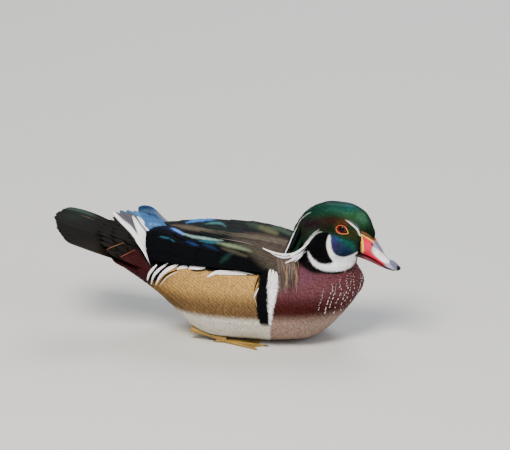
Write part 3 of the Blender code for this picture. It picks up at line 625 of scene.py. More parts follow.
def bodyColours(points):
    places = markingPlace(points)
    x, y = places.T
    height = points[:, 2]
    n = len(points)
    colours = plainColours(points, "b98f54")
    bars = np.ones(n)
    gloss = np.zeros(n)
    # flank: warm buff above, browner below, with the fine dark bars of the material over it
    paint(colours, spot(places, 246, 280, 18, 12) * 0.8, "c99c56")
    paint(colours, spot(places, 205, 284, 25, 8) * 0.6, "bd9552")
    paint(colours, smoothStep(64 * mm, 45 * mm, height), "75593a")
    paint(colours, smoothStep(178, 154, x) * 0.7, "8c6a3c")
    # white belly below the line that floats
    belly = smoothStep(37 * mm, 28 * mm, height) * smoothStep(100 * mm, 84 * mm, points[:, 0])
    paint(colours, belly, "dcd5c6")
    bars *= 1 - belly
    # back between the wings, rump and the dark rear
    back = smoothStep(40 * mm, 30 * mm, np.abs(points[:, 1])) * smoothStep(78 * mm, 86 * mm, height)
    paint(colours, back, "574739")
    rear = smoothStep(-92 * mm, -104 * mm, points[:, 0])
    paint(colours, rear, "15110d")
    bars *= 1 - np.maximum(back, rear)
    gloss += 0.3 * np.maximum(back, rear)
    hip = patchCover(places, bodyMarks["hip"], 2.0)
    paint(colours, hip, "0d0b0d")
    bars *= 1 - hip
    maroon = patchCover(places, bodyMarks["maroon"], 1.2)
    paint(colours, maroon, "371619")
    paint(colours, maroon * spot(places, 128, 259, 7, 4), "35284a")
    gloss = np.maximum(gloss, 0.35 * maroon)
    # breast
    front = smoothStep(-0.8, 1.2, x - np.interp(y, *zip(*bodyMarks["breastEdge"])))
    paint(colours, front, "63383e")
    # painted sheen: a purple glow on the upper breast's maroon
    paint(colours, front * spot(places, 300, 278, 17, 10) * 0.7, "65404f")
    paint(colours, front * spot(places, 318, 290, 18, 9) * 0.5, "6e4446")
    paint(colours, front * smoothStep(290, 310, y), "401815")
    paint(colours, front * smoothStep(326, 352, x) * 0.5, "5c2f30")
    shoulder = smoothStep(296, 284, x + (y - 268) * 0.25) * front * smoothStep(300, 280, y)
    paint(colours, shoulder, "695c55")
    bars *= 1 - front
    gloss = np.maximum(gloss, 0.22 * front)
    under = smoothStep(42 * mm, 26 * mm, height) * front
    paint(colours, under * smoothStep(112 * mm, 92 * mm, points[:, 0]), "a08678")
    # the black and white bars beside the breast, carried down the side
    low = smoothStep(22 * mm, 30 * mm, height)
    black = patchCover(places, bodyMarks["blackBar"], 0.7) * low
    white = patchCover(places, bodyMarks["whiteBar"], 0.6) * low
    paint(colours, black, "07070a")
    paint(colours, white, "fdfcfc")
    bars *= (1 - black) * (1 - white)
    gloss *= 1 - white
    # above the flank everything is wing-black
    high = bodyMarks["flankTopHalf"]
    over = lineCover(places, [(a, b - high) for a, b in bodyMarks["flankTop"]], [high] * 4, 0.8)
    paint(colours, over * (1 - front) * (1 - rear) * (1 - maroon), "0a0a0d")
    bars *= 1 - over
    return colours, gloss, bars


print("markings ready")


skin = {
    "voxel": 1.25 * mm,
    "rounds": 4,
    "bodyDepth": 1.5 * mm,  # how far it lies inside the solids, so that the feathers end at their surface
    "headDepth": 0.8 * mm,
    "lowest": 0.4 * mm,  # over the floor
    # where the head's plumage begins: a level below the eyes that falls forward, and the crest's rear end
    "neckLevel": -0.034,
    "neckSlope": -0.10,
    "neckBlend": 0.004,
    "crestEnd": -0.075,
    "chinStart": 0.045,  # the chin's marks lie in front of this
    "tone": 0.75,  # painted shade: darker between the feathers than on them, for the shade that falls there
    "gloss": 0.5,
}


def headShare(points):
    local = headLocal(points)
    level = skin["neckLevel"] + skin["neckSlope"] * local[:, 0]
    blend = smoothStep(level - skin["neckBlend"], level + skin["neckBlend"], local[:, 2])
    return blend * (local[:, 0] > skin["crestEnd"])


def plumageColours(points):
    share = headShare(points)
    bodyPart, bodyGloss, bodyBars = bodyColours(points)
    headPart, headGloss = headColours(points)
    # the chin's white, its black edge and the black of the neck's side run a little way onto the breast
    places = markingPlace(points, onHead=True)
    chin = patchCover(places, headMarks["bridle"], headMarks["whiteSoft"], headMarks["fineSamples"])
    for name in ("patch", "nape"):
        chin = np.maximum(chin, patchCover(places, headMarks[name], headMarks[name + "Soft"]))
    chin = np.maximum(chin, lineCover(places, headMarks["collar"], [0.8, 1.4, 1.0]))
    share = np.maximum(share, chin * (points[:, 0] > skin["chinStart"]))
    colours = bodyPart + (headPart - bodyPart) * share[:, None]
    return colours, bodyGloss + (headGloss - bodyGloss) * share, bodyBars * (1 - share)


def makeSkin():
    shape, mesh = softCopy(("torso", "neck", "head", "crest"), skin["voxel"], skin["rounds"])
    points = np.array([v.co for v in shape.verts])
    depths = mix(skin["bodyDepth"], skin["headDepth"], headShare(points))
    for vert, depth in zip(shape.verts, depths):
        vert.co -= vert.normal * depth
        vert.co.z = max(vert.co.z, skin["lowest"])
    tree = BVHTree.FromBMesh(shape)
    finishShape(shape, mesh)
    mesh.name = "birdSkin"
    points, _ = meshArrays(mesh)
    colours, gloss, bars = plumageColours(points)
    # the skin's colours are darkened here, as painted shade between the feathers
    setColours(mesh, colours * skin["tone"], gloss * skin["gloss"], bars)
    linkPiece("birdSkin", mesh, contourFeather, "torso", "neck", "head", "crest", slot="body_feathers")
    return mesh, tree


skinMesh, skinTree = makeSkin()


# Which way feathers lie: back from the bill over the head, down the crest and neck, back along the body.
def lieAt(points):
    local = headLocal(points)
    forward, up = local[:, 0], local[:, 2]
    fromBill = np.column_stack((forward - 0.030, 0.25 * local[:, 1], up + 0.020))
    fromBill /= np.linalg.norm(fromBill, axis=1)[:, None]
    droop = smoothStep(-0.012, -0.036, forward)[:, None]
    onHead = fromBill * (1 - droop) + np.array((-0.50, 0.0, -0.90)) * droop
    lower = smoothStep(-0.018, -0.034, up)[:, None]
    onHead = onHead * (1 - lower) + np.array((-0.75, 0.0, -0.60)) * lower
    onHead = onHead @ headSpin.T
    x = points[:, 0]
    breast = smoothStep(0.030, 0.110, x)[:, None]
    rise = smoothStep(-0.050, -0.110, x)[:, None]
    onBody = np.array((-1.0, 0.0, -0.06)) * (1 - breast) + np.array((-0.72, 0.0, -0.60)) * breast
    onBody = onBody + np.array((0.0, 0.0, 0.34)) * rise
    share = headShare(points)[:, None]
    return onBody * (1 - share) + onHead * share


# Even random places on the skin, at least a spacing apart, where the wanted test passes.
def scatter(mesh, spacing, wanted, seed, tries=5):
    draw = np.random.default_rng(seed)
    mesh.calc_loop_triangles()
    points, normals = meshArrays(mesh)
    tris = np.zeros(len(mesh.loop_triangles) * 3, int)
    mesh.loop_triangles.foreach_get("vertices", tris)
    tris = tris.reshape(-1, 3)
    a, b, c = points[tris[:, 0]], points[tris[:, 1]], points[tris[:, 2]]
    area = np.linalg.norm(np.cross(b - a, c - a), axis=1) / 2
    area *= wanted((a + b + c) / 3)
    count = int(area.sum() / spacing ** 2 * tries)
    pick = draw.choice(len(tris), size=count, p=area / area.sum())
    u, v = np.sqrt(draw.random(count)), draw.random(count)
    weights = np.column_stack((1 - u, u * (1 - v), u * v))
    spots = (weights[:, :, None] * points[tris[pick]]).sum(1)
    facing = (weights[:, :, None] * normals[tris[pick]]).sum(1)
    facing /= np.linalg.norm(facing, axis=1)[:, None]
    cells = {}
    kept = []
    keys = np.floor(spots / spacing).astype(int)
    near = [(i, j, k) for i in (-1, 0, 1) for j in (-1, 0, 1) for k in (-1, 0, 1)]
    for index, (i, j, k) in enumerate(keys.tolist()):
        others = (other for di, dj, dk in near for other in cells.get((i + di, j + dj, k + dk), ()))
        if all(((spots[other] - spots[index]) ** 2).sum() >= spacing ** 2 for other in others):
            cells.setdefault((i, j, k), []).append(index)
            kept.append(index)
    return spots[kept], facing[kept]


# One small feather on the skin: rows along its length, three columns across, following the surface. Its edges hang
# below its middle by cup times its half width, and those of its tip are drawn back by sweep times its length.
def layFeather(tree, root, normal, lie, length, half, lifts, shape, cup=0.10, sweep=0.10):
    lie = lie - normal * lie.dot(normal)
    lie.normalize()
    centre = root
    rows = []
    done = 0.0
    for share, width in shape:
        centre = centre + lie * (share - done) * length
        done = share
        found, facing, _, _ = tree.find_nearest(centre)
        if found is None:
            return None
        if facing.dot(normal) > 0.2:  # a place behind a fold is passed over
            normal = (normal + facing).normalized()
            centre = found
        lie = (lie - normal * lie.dot(normal)).normalized()
        side = normal.cross(lie)
        lift = mix(lifts[0], lifts[1], share ** 0.6)
        w = width * half
        top = centre + normal * lift
        edge = -normal * cup * w
        back = -lie * (sweep * length * share ** 3)
        rows.append((top - side * w + edge + back, top, top + side * w + edge + back))
    return rows


# outline of a small feather: share of the length, share of the half width
contourShape = ((0.0, 0.50), (0.30, 0.92), (0.55, 1.0), (0.80, 0.90), (0.93, 0.60), (1.0, 0.14))
# the long locks need more rows, so that a marking's edge stays sharp on them
lockShape = [(share, np.interp(share, *zip(*contourShape))) for share in np.linspace(0, 1, 16)]


def gridArray(grids):
    return np.array([[[tuple(p) for p in row] for row in rows] for rows in grids])


# Joins many small grids of points into one mesh, with a blade map and a bake map of one patch each. The patches are
# given by their middles where their size is one number, and by their lower left corners where it is two.
def gridsToMesh(name, grids, patches, patchSize=0.003):
    grids = np.array(grids, float)
    count, rows, columns, _ = grids.shape
    per = rows * columns
    base = np.arange(per).reshape(rows, columns)
    quads = np.stack((base[:-1, :-1], base[:-1, 1:], base[1:, 1:], base[1:, :-1]), -1).reshape(-1, 4)
    faces = (np.arange(count)[:, None, None] * per + quads[None]).reshape(-1, 4)
    mesh = bpy.data.meshes.new(name)
    mesh.vertices.add(count * per)
    mesh.vertices.foreach_set("co", grids.ravel())
    mesh.loops.add(len(faces) * 4)
    mesh.loops.foreach_set("vertex_index", faces.ravel())
    mesh.polygons.add(len(faces))
    mesh.polygons.foreach_set("loop_start", np.arange(len(faces)) * 4)
    mesh.update(calc_edges=True)
    mesh.validate()
    along, across = np.meshgrid(np.linspace(0, 1, rows), np.linspace(0, 1, columns), indexing="ij")
    blade = np.tile(np.stack((across, along), -1).reshape(-1, 2), (count, 1))
    patches = np.asarray(patches)
    bake = blade.reshape(count, per, 2)
    if np.ndim(patchSize) == 0:
        bake = (bake - 0.5) * patchSize + patches[:, None, :]
    else:
        bake = bake * patchSize + patches[:, None, :]
    bake = bake.reshape(-1, 2)
    for layerName, values in (("OFBake", bake), ("blade", blade)):
        layer = mesh.uv_layers.new(name=layerName)
        layer.data.foreach_set("uv", values[faces.ravel()].ravel())
    mesh.polygons.foreach_set("use_smooth", np.ones(len(faces), bool))
    return mesh


# Layout of the small feathers' bake map: the body's band of it lies under the head's.
coatMap = {
    "bodyBand": (0.02, 0.60),
    "bodyAxis": 0.052,
    "bodyRear": -0.145,
    "bodyLength": 0.270,
    "headBand": (0.64, 0.98),
    "headAxis": -0.012,
    "headFoot": -0.050,
    "headHeight": 0.075,
    "margin": 0.005,
}


# Unwrap of the skin's own shape: round the body's length below, round the head's height above.
def unwrap(points):
    points = np.asarray(points)
    local = headLocal(points)
    onHead = headShare(points) > 0.5
    bodyRound = np.arctan2(points[:, 1], points[:, 2] - coatMap["bodyAxis"]) / math.tau + 0.5
    along = (points[:, 0] - coatMap["bodyRear"]) / coatMap["bodyLength"]
    headRound = np.arctan2(local[:, 1], local[:, 0] - coatMap["headAxis"]) / math.tau + 0.5
    rise = (local[:, 2] - coatMap["headFoot"]) / coatMap["headHeight"]
    across = np.where(onHead, headRound, bodyRound) * (1 - 2 * coatMap["margin"]) + coatMap["margin"]
    up = np.where(
        onHead, mix(*coatMap["headBand"], np.clip(rise, 0, 1)), mix(*coatMap["bodyBand"], np.clip(along, 0, 1))
    )
    return np.column_stack((across, up))


# A coat of small feathers over the part of the skin that is wanted. Spread turns them at random, and tones makes
# them lighter or darker than each other.
def layCoat(name, coat, wanted, seed, spread, tones=0.10, slot="head_feathers", shape=contourShape):
    draw = random.Random(seed)
    spots, facing = scatter(skinMesh, coat["spacing"], wanted, seed)
    lies = lieAt(spots)
    order = list(range(len(spots)))
    draw.shuffle(order)
    grids, roots = [], []
    for i in order:
        size = draw.uniform(0.85, 1.15)
        lie = Vector(lies[i]) + Vector((draw.uniform(-1, 1), draw.uniform(-1, 1), draw.uniform(-1, 1))) * spread
        tip = coat["lifts"][1] * draw.uniform(0.75, 1.1)
        rows = layFeather(
            skinTree, Vector(spots[i]), Vector(facing[i]), lie, coat["length"] * size,
            coat["half"] * draw.uniform(0.9, 1.1), (coat["lifts"][0], tip), shape,
        )
        if rows:
            grids.append(rows)
            roots.append(spots[i])
    roots = np.array(roots)
    rearFirst = np.argsort(roots[:, 0])
    grids = gridArray(grids)[rearFirst]
    grids[..., 2] = np.maximum(grids[..., 2], coatLowest)
    mesh = gridsToMesh(name, grids, unwrap(roots[rearFirst]))
    colours, gloss, bars = plumageColours(grids.reshape(-1, 3))
    tone = np.array([draw.uniform(-tones, tones) for _ in grids])
    even = 1 - 0.8 * smoothStep(0.3, 0.7, colours.min(axis=1))  # the white ones differ little
    tone = np.repeat(tone, grids.shape[1] * grids.shape[2]) * even
    setColours(mesh, colours * (1 + tone)[:, None], gloss, bars)
    linkPiece(name, mesh, contourFeather, slot=slot)


# Where the head has no feathers, in mm from between the eyes: an oval round each eye, and all that the bill covers.
bareSkin = {
    "eyeMiddle": (-0.2, -0.4),
    "eyeHalves": (6.7, 5.1),
    "eyeSide": 10,
    "billEdges": (17.5, 24.5),  # forward, at the chin and at the brow
    "billLevels": (-22, -4),
    "billTop": 1.0,
    "billMiddle": (15.5, 0, -6),
    "billHalves": (15.2, 6.6, 13.4),
    "billGap": 1.1,
}


def clearOfEyes(points):
    forward, left, up = headLocal(points).T / mm
    (x, z), (wide, high) = bareSkin["eyeMiddle"], bareSkin["eyeHalves"]
    return (np.hypot((forward - x) / wide, (up - z) / high) > 1.0) | (np.abs(left) < bareSkin["eyeSide"])


def clearOfBill(points):
    local = headLocal(points).T / mm
    edge = mix(*bareSkin["billEdges"], smoothStep(*bareSkin["billLevels"], local[2]))
    x, y, z = (((a - b) / c) ** 2 for a, b, c in zip(local, bareSkin["billMiddle"], bareSkin["billHalves"]))
    return (local[0] < edge) | (local[2] > bareSkin["billTop"]) | (x + y + z < bareSkin["billGap"])


# spacing, length and half width of one feather, and how far its root and tip stand off the skin
bodyCoat = {"spacing": 2.2 * mm, "length": 8.5 * mm, "half": 1.75 * mm, "lifts": (0.1 * mm, 1.15 * mm)}
headCoat = {"spacing": 0.95 * mm, "length": 4.0 * mm, "half": 0.60 * mm, "lifts": (0.0 * mm, 0.62 * mm)}
crestCoat = {"spacing": 1.5 * mm, "length": 15.0 * mm, "half": 0.85 * mm, "lifts": (0.1 * mm, 1.10 * mm)}
coatLowest = 0.3 * mm
coatFoot = 1.2 * mm  # no feather starts lower, where the bird stands on its belly


def onBody(points):
    return (headShare(points) < 0.5) & (points[:, 2] > coatFoot)


def onHead(points):
    return (headShare(points) >= 0.5) & clearOfEyes(points) & clearOfBill(points)


def onCrest(points):
    local = headLocal(points)
    return (headShare(points) >= 0.5) & (local[:, 0] < -0.014 - 0.6 * np.minimum(local[:, 2] + 0.012, 0.0))


layCoat("bodyFeathers", bodyCoat, onBody, 11, 0.06, slot="body_feathers")
layCoat("headFeathers", headCoat, onHead, 12, 0.05, 0.28)
layCoat("crestLocks", crestCoat, onCrest, 13, 0.05, 0.22, shape=lockShape)
print("small feathers laid")


# Outer surface of a folded wing. Each row: x, then (out, height) of its inner edge, ridge, side and lower edge.
wing = {
    "rows": (
        (-0.1000, 0.0130, 0.1110, 0.0240, 0.1125, 0.0330, 0.1040, 0.0380, 0.0830),
        (-0.0850, 0.0070, 0.1110, 0.0170, 0.1140, 0.0330, 0.1060, 0.0420, 0.0835),
        (-0.0600, 0.0040, 0.1065, 0.0190, 0.1110, 0.0400, 0.1015, 0.0480, 0.0840),
        (-0.0300, 0.0030, 0.1030, 0.0250, 0.1090, 0.0450, 0.1000, 0.0535, 0.0845),
        (0.0000, 0.0030, 0.1005, 0.0300, 0.1070, 0.0480, 0.0975, 0.0560, 0.0840),
        (0.0250, 0.0040, 0.0980, 0.0310, 0.1030, 0.0485, 0.0935, 0.0560, 0.0825),
        (0.0450, 0.0090, 0.0948, 0.0290, 0.0975, 0.0455, 0.0895, 0.0530, 0.0805),
        (0.0580, 0.0200, 0.0910, 0.0300, 0.0915, 0.0420, 0.0868, 0.0485, 0.0800),
    ),
    # the left wing's rear lies lower: by how much at each x, and the share of it at the four places
    "leftRaise": (
        (-0.1000, -0.0085), (-0.0850, -0.0070), (-0.0720, -0.0035), (-0.0560, 0.0006), (0.0300, 0.0004),
        (0.0580, 0.0022),
    ),
    "raiseShares": (0.60, 1.00, 0.55, 0.00),
    "end": ((0, -0.0850), (0.25, -0.0970), (0.5, -0.1035), (0.75, -0.1030), (1, -0.0980)),
    "front": 0.0580,
    "corner": 0.0150,
    "baseLift": -0.6 * mm,
    # tiers: count, root x, tip x (none ends at the wing's own end), half width as a share of the section, tip lift
    "tiers": (
        (9, -0.0400, None, 0.080, 0.9 * mm),
        (9, -0.0220, -0.0780, 0.076, 1.4 * mm),
        (10, -0.0040, -0.0500, 0.070, 1.6 * mm),
        (11, 0.0120, -0.0260, 0.064, 1.7 * mm),
        (12, 0.0250, -0.0060, 0.058, 1.7 * mm),
        (13, 0.0350, 0.0100, 0.054, 1.6 * mm),
        (14, 0.0430, 0.0230, 0.050, 1.5 * mm),
        (15, 0.0500, 0.0330, 0.047, 1.4 * mm),
        (15, 0.0560, 0.0420, 0.047, 1.3 * mm),
    ),
    "rootLift": -0.4 * mm,
    "roll": 0.35 * mm,
    "axis": 0.05,  # height of the line that its distances are measured out from
    "samples": 13,
    "clear": 1.4 * mm,  # how far it stays outside the body's feathers, in front of clearFrom
    "clearFrom": -0.110,
}
wingTable = curveThrough(np.array(sorted(wing["rows"])), 160)
wingEnd = np.array(wing["end"])
leftRaise = np.array(wing["leftRaise"])
sides = ((1, "Left"), (-1, "Right"))

# points across the wing at each of the table's sections, for either side
wingSections = {}
for side, _ in sides:
    rises = np.interp(wingTable[:, 0], leftRaise[:, 0], leftRaise[:, 1]) * (side > 0)
    wingSections[side] = np.array([
        curveThrough(
            [(row[2 * k + 1], row[2 * k + 2] + rise * wing["raiseShares"][k]) for k in range(4)], wing["samples"]
        )
        for row, rise in zip(wingTable, rises)
    ])


def wingPlace(side, x, down, lift=0.0):
    down = min(max(down, 0.0), 1.0)
    at = np.interp(x, wingTable[:, 0], np.arange(len(wingTable)))
    low = int(min(at, len(wingTable) - 2))
    knots = mix(wingSections[side][low], wingSections[side][low + 1], at - low)
    shares = np.linspace(0, 1, wing["samples"])
    out = Vector((0.0, np.interp(down, shares, knots[:, 0]), np.interp(down, shares, knots[:, 1]) - wing["axis"]))
    reach = out.length
    out.normalize()
    hit, _, _, far = skinTree.ray_cast(Vector((x, 0.0, wing["axis"])), out)
    if hit is not None and x > wing["clearFrom"]:
        reach = max(reach, far + skin["bodyDepth"] + wing["clear"])
    spotHere = out * (reach + lift)
    return Vector((x, side * spotHere.y, spotHere.z + wing["axis"]))


# Where the wing's front end lies: its corners are rounded off.
def wingFront(down):
    return wing["front"] - wing["corner"] * abs(2 * down - 1) ** 3


# Outlines of large vanes: share of the length, share of the half width.
featherShapes = {
    "broad": ((0, 0.60), (0.30, 0.92), (0.60, 1), (0.82, 0.96), (0.92, 0.82), (0.97, 0.60), (1, 0.22)),
    "blunt": ((0, 0.60), (0.30, 0.90), (0.60, 1), (0.955, 1), (1, 0.96)),
    "primary": ((0, 0.55), (0.25, 0.85), (0.50, 1), (0.85, 1), (0.95, 0.90), (1, 0.55)),
    "quill": ((0, 0.45), (0.30, 0.72), (0.60, 0.92), (0.88, 1), (0.97, 0.95), (1, 0.78)),
}


def shapeRows(name, rows):
    outline = np.array(featherShapes[name])
    shares = 1 - (1 - np.linspace(0, 1, rows)) ** 1.45
    return [(share, float(np.interp(share, outline[:, 0], outline[:, 1]))) for share in shares]


# Grid of points of one large vane on a surface: place(a, b, lift), a along it and b across it. Roll lifts one edge
# over the next vane, arch lowers both, and sweep draws the tip's corners back.
def vaneGrid(place, root, tip, half, lifts, shape, roll=0.0, size=(13, 7), arch=0.3 * mm, sweep=0.035):
    rows = []
    for share, width in shapeRows(shape, size[0]):
        row = []
        lift = mix(lifts[0], lifts[1], share ** 0.6)
        for column in np.linspace(-1, 1, size[1]):
            b = mix(root[1], tip[1], share) + column * half * width
            a = mix(root[0], tip[0], share - sweep * column ** 2 * share ** 3)
            row.append(place(a, b, lift + roll * column * min(1.0, 2 * share) - arch * column ** 2))
        rows.append(row)
    return rows


# Shifts places by a fraction of a pixel or so, because a patch's edge follows single barbs.
def ragged(places, size):
    x, y = places.T
    along = np.sin(1.1 * x + 4.3 * y) + 0.8 * np.sin(0.5 * x - 2.9 * y) + 0.6 * np.sin(6.1 * y)
    across = np.sin(0.9 * x + 1.3 * y) * 0.35
    return places + size * np.column_stack((along, across))


# Cloudy share between 0 and 1, for feathers that differ a little from each other.
def mottle(places, size):
    x, y = places.T / size
    return 0.5 + 0.5 * np.sin(0.9 * x + 2.1 * np.sin(0.7 * y)) * np.sin(1.9 * y + 1.6 * np.sin(0.5 * x))


# Patches of sheen and brown, as points, half widths, colour and softness. The far wing is seen from its inner side.
wingMarks = {
    "near": (
        ([(150, 229.5), (156, 226), (165, 226), (173, 230)], [1.5, 3, 3, 1.5], "0e1628", 2.5),
        ([(171, 228), (177, 230.6), (184.5, 234.6)], [0.6, 1.4, 0.9], "5a86d6", 0.8),
        ([(160, 236.5), (167, 237.8), (174.5, 241.2)], [0.2, 0.6, 0.2], "2d6076", 0.8),
        ([(183, 233.4), (192, 236.4), (204, 238.2), (222, 240.6)], [0.5, 1.1, 1.4, 0.5], "809c94", 0.9),
        ([(200, 240.4), (210, 241.8), (221, 243)], [0.6, 1.5, 0.5], "265c68", 1.2),
        ([(187, 241), (193, 243.6), (198.5, 245.6)], [0.3, 1.2, 0.3], "1d3366", 1.2),
        ([(203, 244.6), (210, 246.6), (218, 250)], [0.5, 1.4, 0.5], "152843", 1.5),
        ([(218, 243), (229, 245.2), (240, 247.6), (252, 251.2)], [0.6, 2, 1.9, 0.5], "6a765c", 1.6),
        ([(221, 262), (226, 257.6), (231.5, 253.2)], [1, 2.4, 1], "142c2a", 2.2),
        ([(222, 247.8), (233, 251.4), (246, 256)], [0.8, 2, 1.2], "3f3a30", 1.6),
    ),
    "far": (
        ([(176, 226.4), (190, 228.6), (203, 231.4)], [1.6, 3, 2], "5c5046", 2),
        ([(206, 233), (222, 236), (240, 239)], [2, 3.4, 2.4], "292b26", 2.2),
        ([(206, 229), (222, 231), (238, 233)], [2, 3.6, 2], "16201f", 2.4),
        ([(186, 222.8), (194, 220.6), (203, 219.8), (215, 219.6)], [0.4, 1.6, 1.5, 0.3], "3f74b8", 0.9),
        ([(205, 224), (213, 223), (221, 223.4), (226, 227)], [0.4, 1.1, 1.2, 0.3], "3a666a", 1),
        ([(248, 224), (255, 225.4), (262, 228)], [1.5, 2.6, 2], "2f3a30", 2.2),
        ([(260, 227), (268, 229.6), (276, 233)], [1.5, 3, 2.2], "56563e", 2.4),
        ([(272, 227.4), (281, 229.4), (290, 233.6)], [1.2, 2, 2], "3d4c40", 1.8),
        ([(246, 236), (262, 239), (284, 243)], [2.5, 4.5, 4], "57463b", 3),
    ),
    "ragged": 0.5,
}


def wingColours(points, side):
    places = ragged(markingPlace(points), wingMarks["ragged"])
    x, y = places.T
    colours = plainColours(points, "06070a")
    gloss = np.full(len(points), 0.10)
    toward = x - 240 - 1.1 * (y - 250)  # how far ahead of the slanting edge where black turns to brown
    brown = smoothStep(-2, 16, toward)
    paint(colours, brown * 0.9, "4d453e")
    paint(colours, smoothStep(12, 36, toward) * 0.9, "56483f")
    paint(colours, brown * mottle(places, 1.5) * 0.5, "241f1c")
    paint(colours, brown * mottle(places + 9, 2.2) * 0.3, "4f4c36")
    paintLines(colours, places, wingMarks["near"])
    inner = smoothStep(22 * mm, 14 * mm, np.abs(points[:, 1]))
    paint(colours, inner * smoothStep(168, 184, x) * (1 - 0.9 * spot(places, 222, 236, 18, 7)), "57493f")
    if side > 0:
        top = smoothStep(44 * mm, 36 * mm, points[:, 1])
        paint(colours, top, "1b1d1d")
        gloss = np.maximum(gloss, 0.15 * top)
        paintLines(colours, ragged(picturePlace(points), wingMarks["ragged"]), wingMarks["far"], top)
    return colours, gloss


# Big vanes keep a cell each on the bake map, because each carries a pattern of its own.
def cells(count, filled=0.9):
    side = math.ceil(math.sqrt(count))
    spots = np.array([(i % side, i // side) for i in range(count)]) / side + (1 - filled) / 2 / side
    return spots, (filled / side, filled / side)


def featherPiece(name, grids, colourOf, *replaced, slot):
    points = gridArray(grids)
    spots, cell = cells(len(points))
    mesh = gridsToMesh(name, points, spots, cell)
    setColours(mesh, *colourOf(points.reshape(-1, 3)))
    linkPiece(name, mesh, flightVane, *replaced, slot=slot)


# A sheet under the vanes, so that nothing shows between them, with a thickness of its own. It is painted darker than
# they are, as the shade under them.
def baseSheet(name, place, shares, colourOf, thickness, slot):
    shape = bmesh.new()
    bmesh.ops.create_grid(shape, x_segments=shares[0], y_segments=shares[1], size=0.5, calc_uvs=True)
    for vert in shape.verts:
        vert.co = place(vert.co.x + 0.5, vert.co.y + 0.5)
    bmesh.ops.recalc_face_normals(shape, faces=shape.faces)
    middle = sum((v.co for v in shape.verts), Vector()) / len(shape.verts)
    if sum((f.calc_center_median() - middle).dot(f.normal) for f in shape.faces) < 0:
        bmesh.ops.reverse_faces(shape, faces=shape.faces)
    mesh = finishShape(shape, bpy.data.meshes.new(name))
    points, _ = meshArrays(mesh)
    colours, gloss = colourOf(points)
    # painted shade: the vanes' colours at half, for the shade under them
    setColours(mesh, colours * 0.5, gloss * 0.4)
    piece = linkPiece(name, mesh, contourFeather, slot=slot)
    wall = piece.modifiers.new("thickness", "SOLIDIFY")
    wall.thickness = thickness
    wall.offset = -1.0


# Scapulars that bridge the back between the two wings. Tiers: root x, tip x.
mantle = {
    "tiers": ((-0.0460, -0.0840), (-0.0200, -0.0600), (0.0020, -0.0360), (0.0180, -0.0140), (0.0300, 0.0040),
              (0.0390, 0.0200)),
    "across": (-0.72, -0.24, 0.24, 0.72),
    "half": 0.42,
    "tipLift": 0.9 * mm,
    "arch": 0.8 * mm,
    "roll": 0.2 * mm,
    "down": 0.05,  # where it meets the wings, as a share of their section
    "base": (-0.078, 0.036),  # rear and front end of the sheet under it, and how deep and thick that is
    "baseLift": -0.6 * mm,
    "baseThickness": 1.2 * mm,
}


def mantlePlace(x, across, lift=0.0):
    right, left = wingPlace(-1, x, mantle["down"]), wingPlace(1, x, mantle["down"])
    spotHere = right.lerp(left, 0.5 + 0.5 * across)
    spotHere.z += lift + mantle["arch"] * (1 - across ** 2)
    return spotHere


def mantleColours(points):
    places = picturePlace(points)
    colours = plainColours(points, "655a4f")
    paint(colours, spot(places, 196, 231, 22, 6) * 0.8, "6b5c4d")
    paint(colours, spot(places, 226, 238, 22, 6) * 0.6, "686048")
    paint(colours, spot(places, 262, 244, 20, 8) * 0.5, "5e4c42")
    paint(colours, spot(places, 222, 233, 24, 7) * 0.95, "282a25")
    paint(colours, mottle(places, 1.5) * 0.5, "2c2622")
    paint(colours, mottle(places + 9, 2.2) * 0.3, "55543a")
    paint(colours, smoothStep(178, 166, places[:, 0]), "121214")
    return colours, np.full(len(points), 0.15)


def makeMantle():
    draw = random.Random(51)
    grids = []
    for root, tip in mantle["tiers"]:
        for across in mantle["across"]:
            end = tip + draw.uniform(-3, 3) * mm
            grids.append(vaneGrid(mantlePlace, (root, across), (end, across), mantle["half"],
                                  (0, mantle["tipLift"]), "broad", mantle["roll"]))
    featherPiece("mantleFeathers", grids, mantleColours, slot="wing_feathers")

    def padPlace(a, b):
        return mantlePlace(mix(*mantle["base"], a), mix(-1.0, 1.0, b), mantle["baseLift"])

    baseSheet("mantleBase", padPlace, (24, 8), mantleColours, mantle["baseThickness"], "wing_feathers")


primaries = {
    "count": 7,
    # root, bend and tip of the lowest and of the top one, on the right and on the left
    "low": (
        ((-0.0930, 0.0385, 0.0740), (-0.1020, 0.0335, 0.1037), (-0.1405, 0.0140, 0.1260)),
        ((-0.0730, 0.0320, 0.0770), (-0.1012, 0.0330, 0.0918), (-0.1190, 0.0140, 0.1235)),
    ),
    "top": (
        ((-0.0660, 0.0280, 0.1010), (-0.0850, 0.0250, 0.1080), (-0.0980, 0.0110, 0.1190)),
        ((-0.0730, 0.0230, 0.0860), (-0.0954, 0.0250, 0.1006), (-0.1055, 0.0110, 0.1214)),
    ),
    "clear": 1.6 * mm,  # least distance from the skin
    "bulges": (0.0050, 0.0026),  # how far the middle ones' tips stand above a line between the outer ones
    "halves": (4.4 * mm, 6.0 * mm),
    "faces": ((0, -0.84, 0.54), (0.15, -0.62, 0.77)),  # the way the right and the left ones' seen sides look
    "roll": 0.7 * mm,
    "size": (26, 13),
}


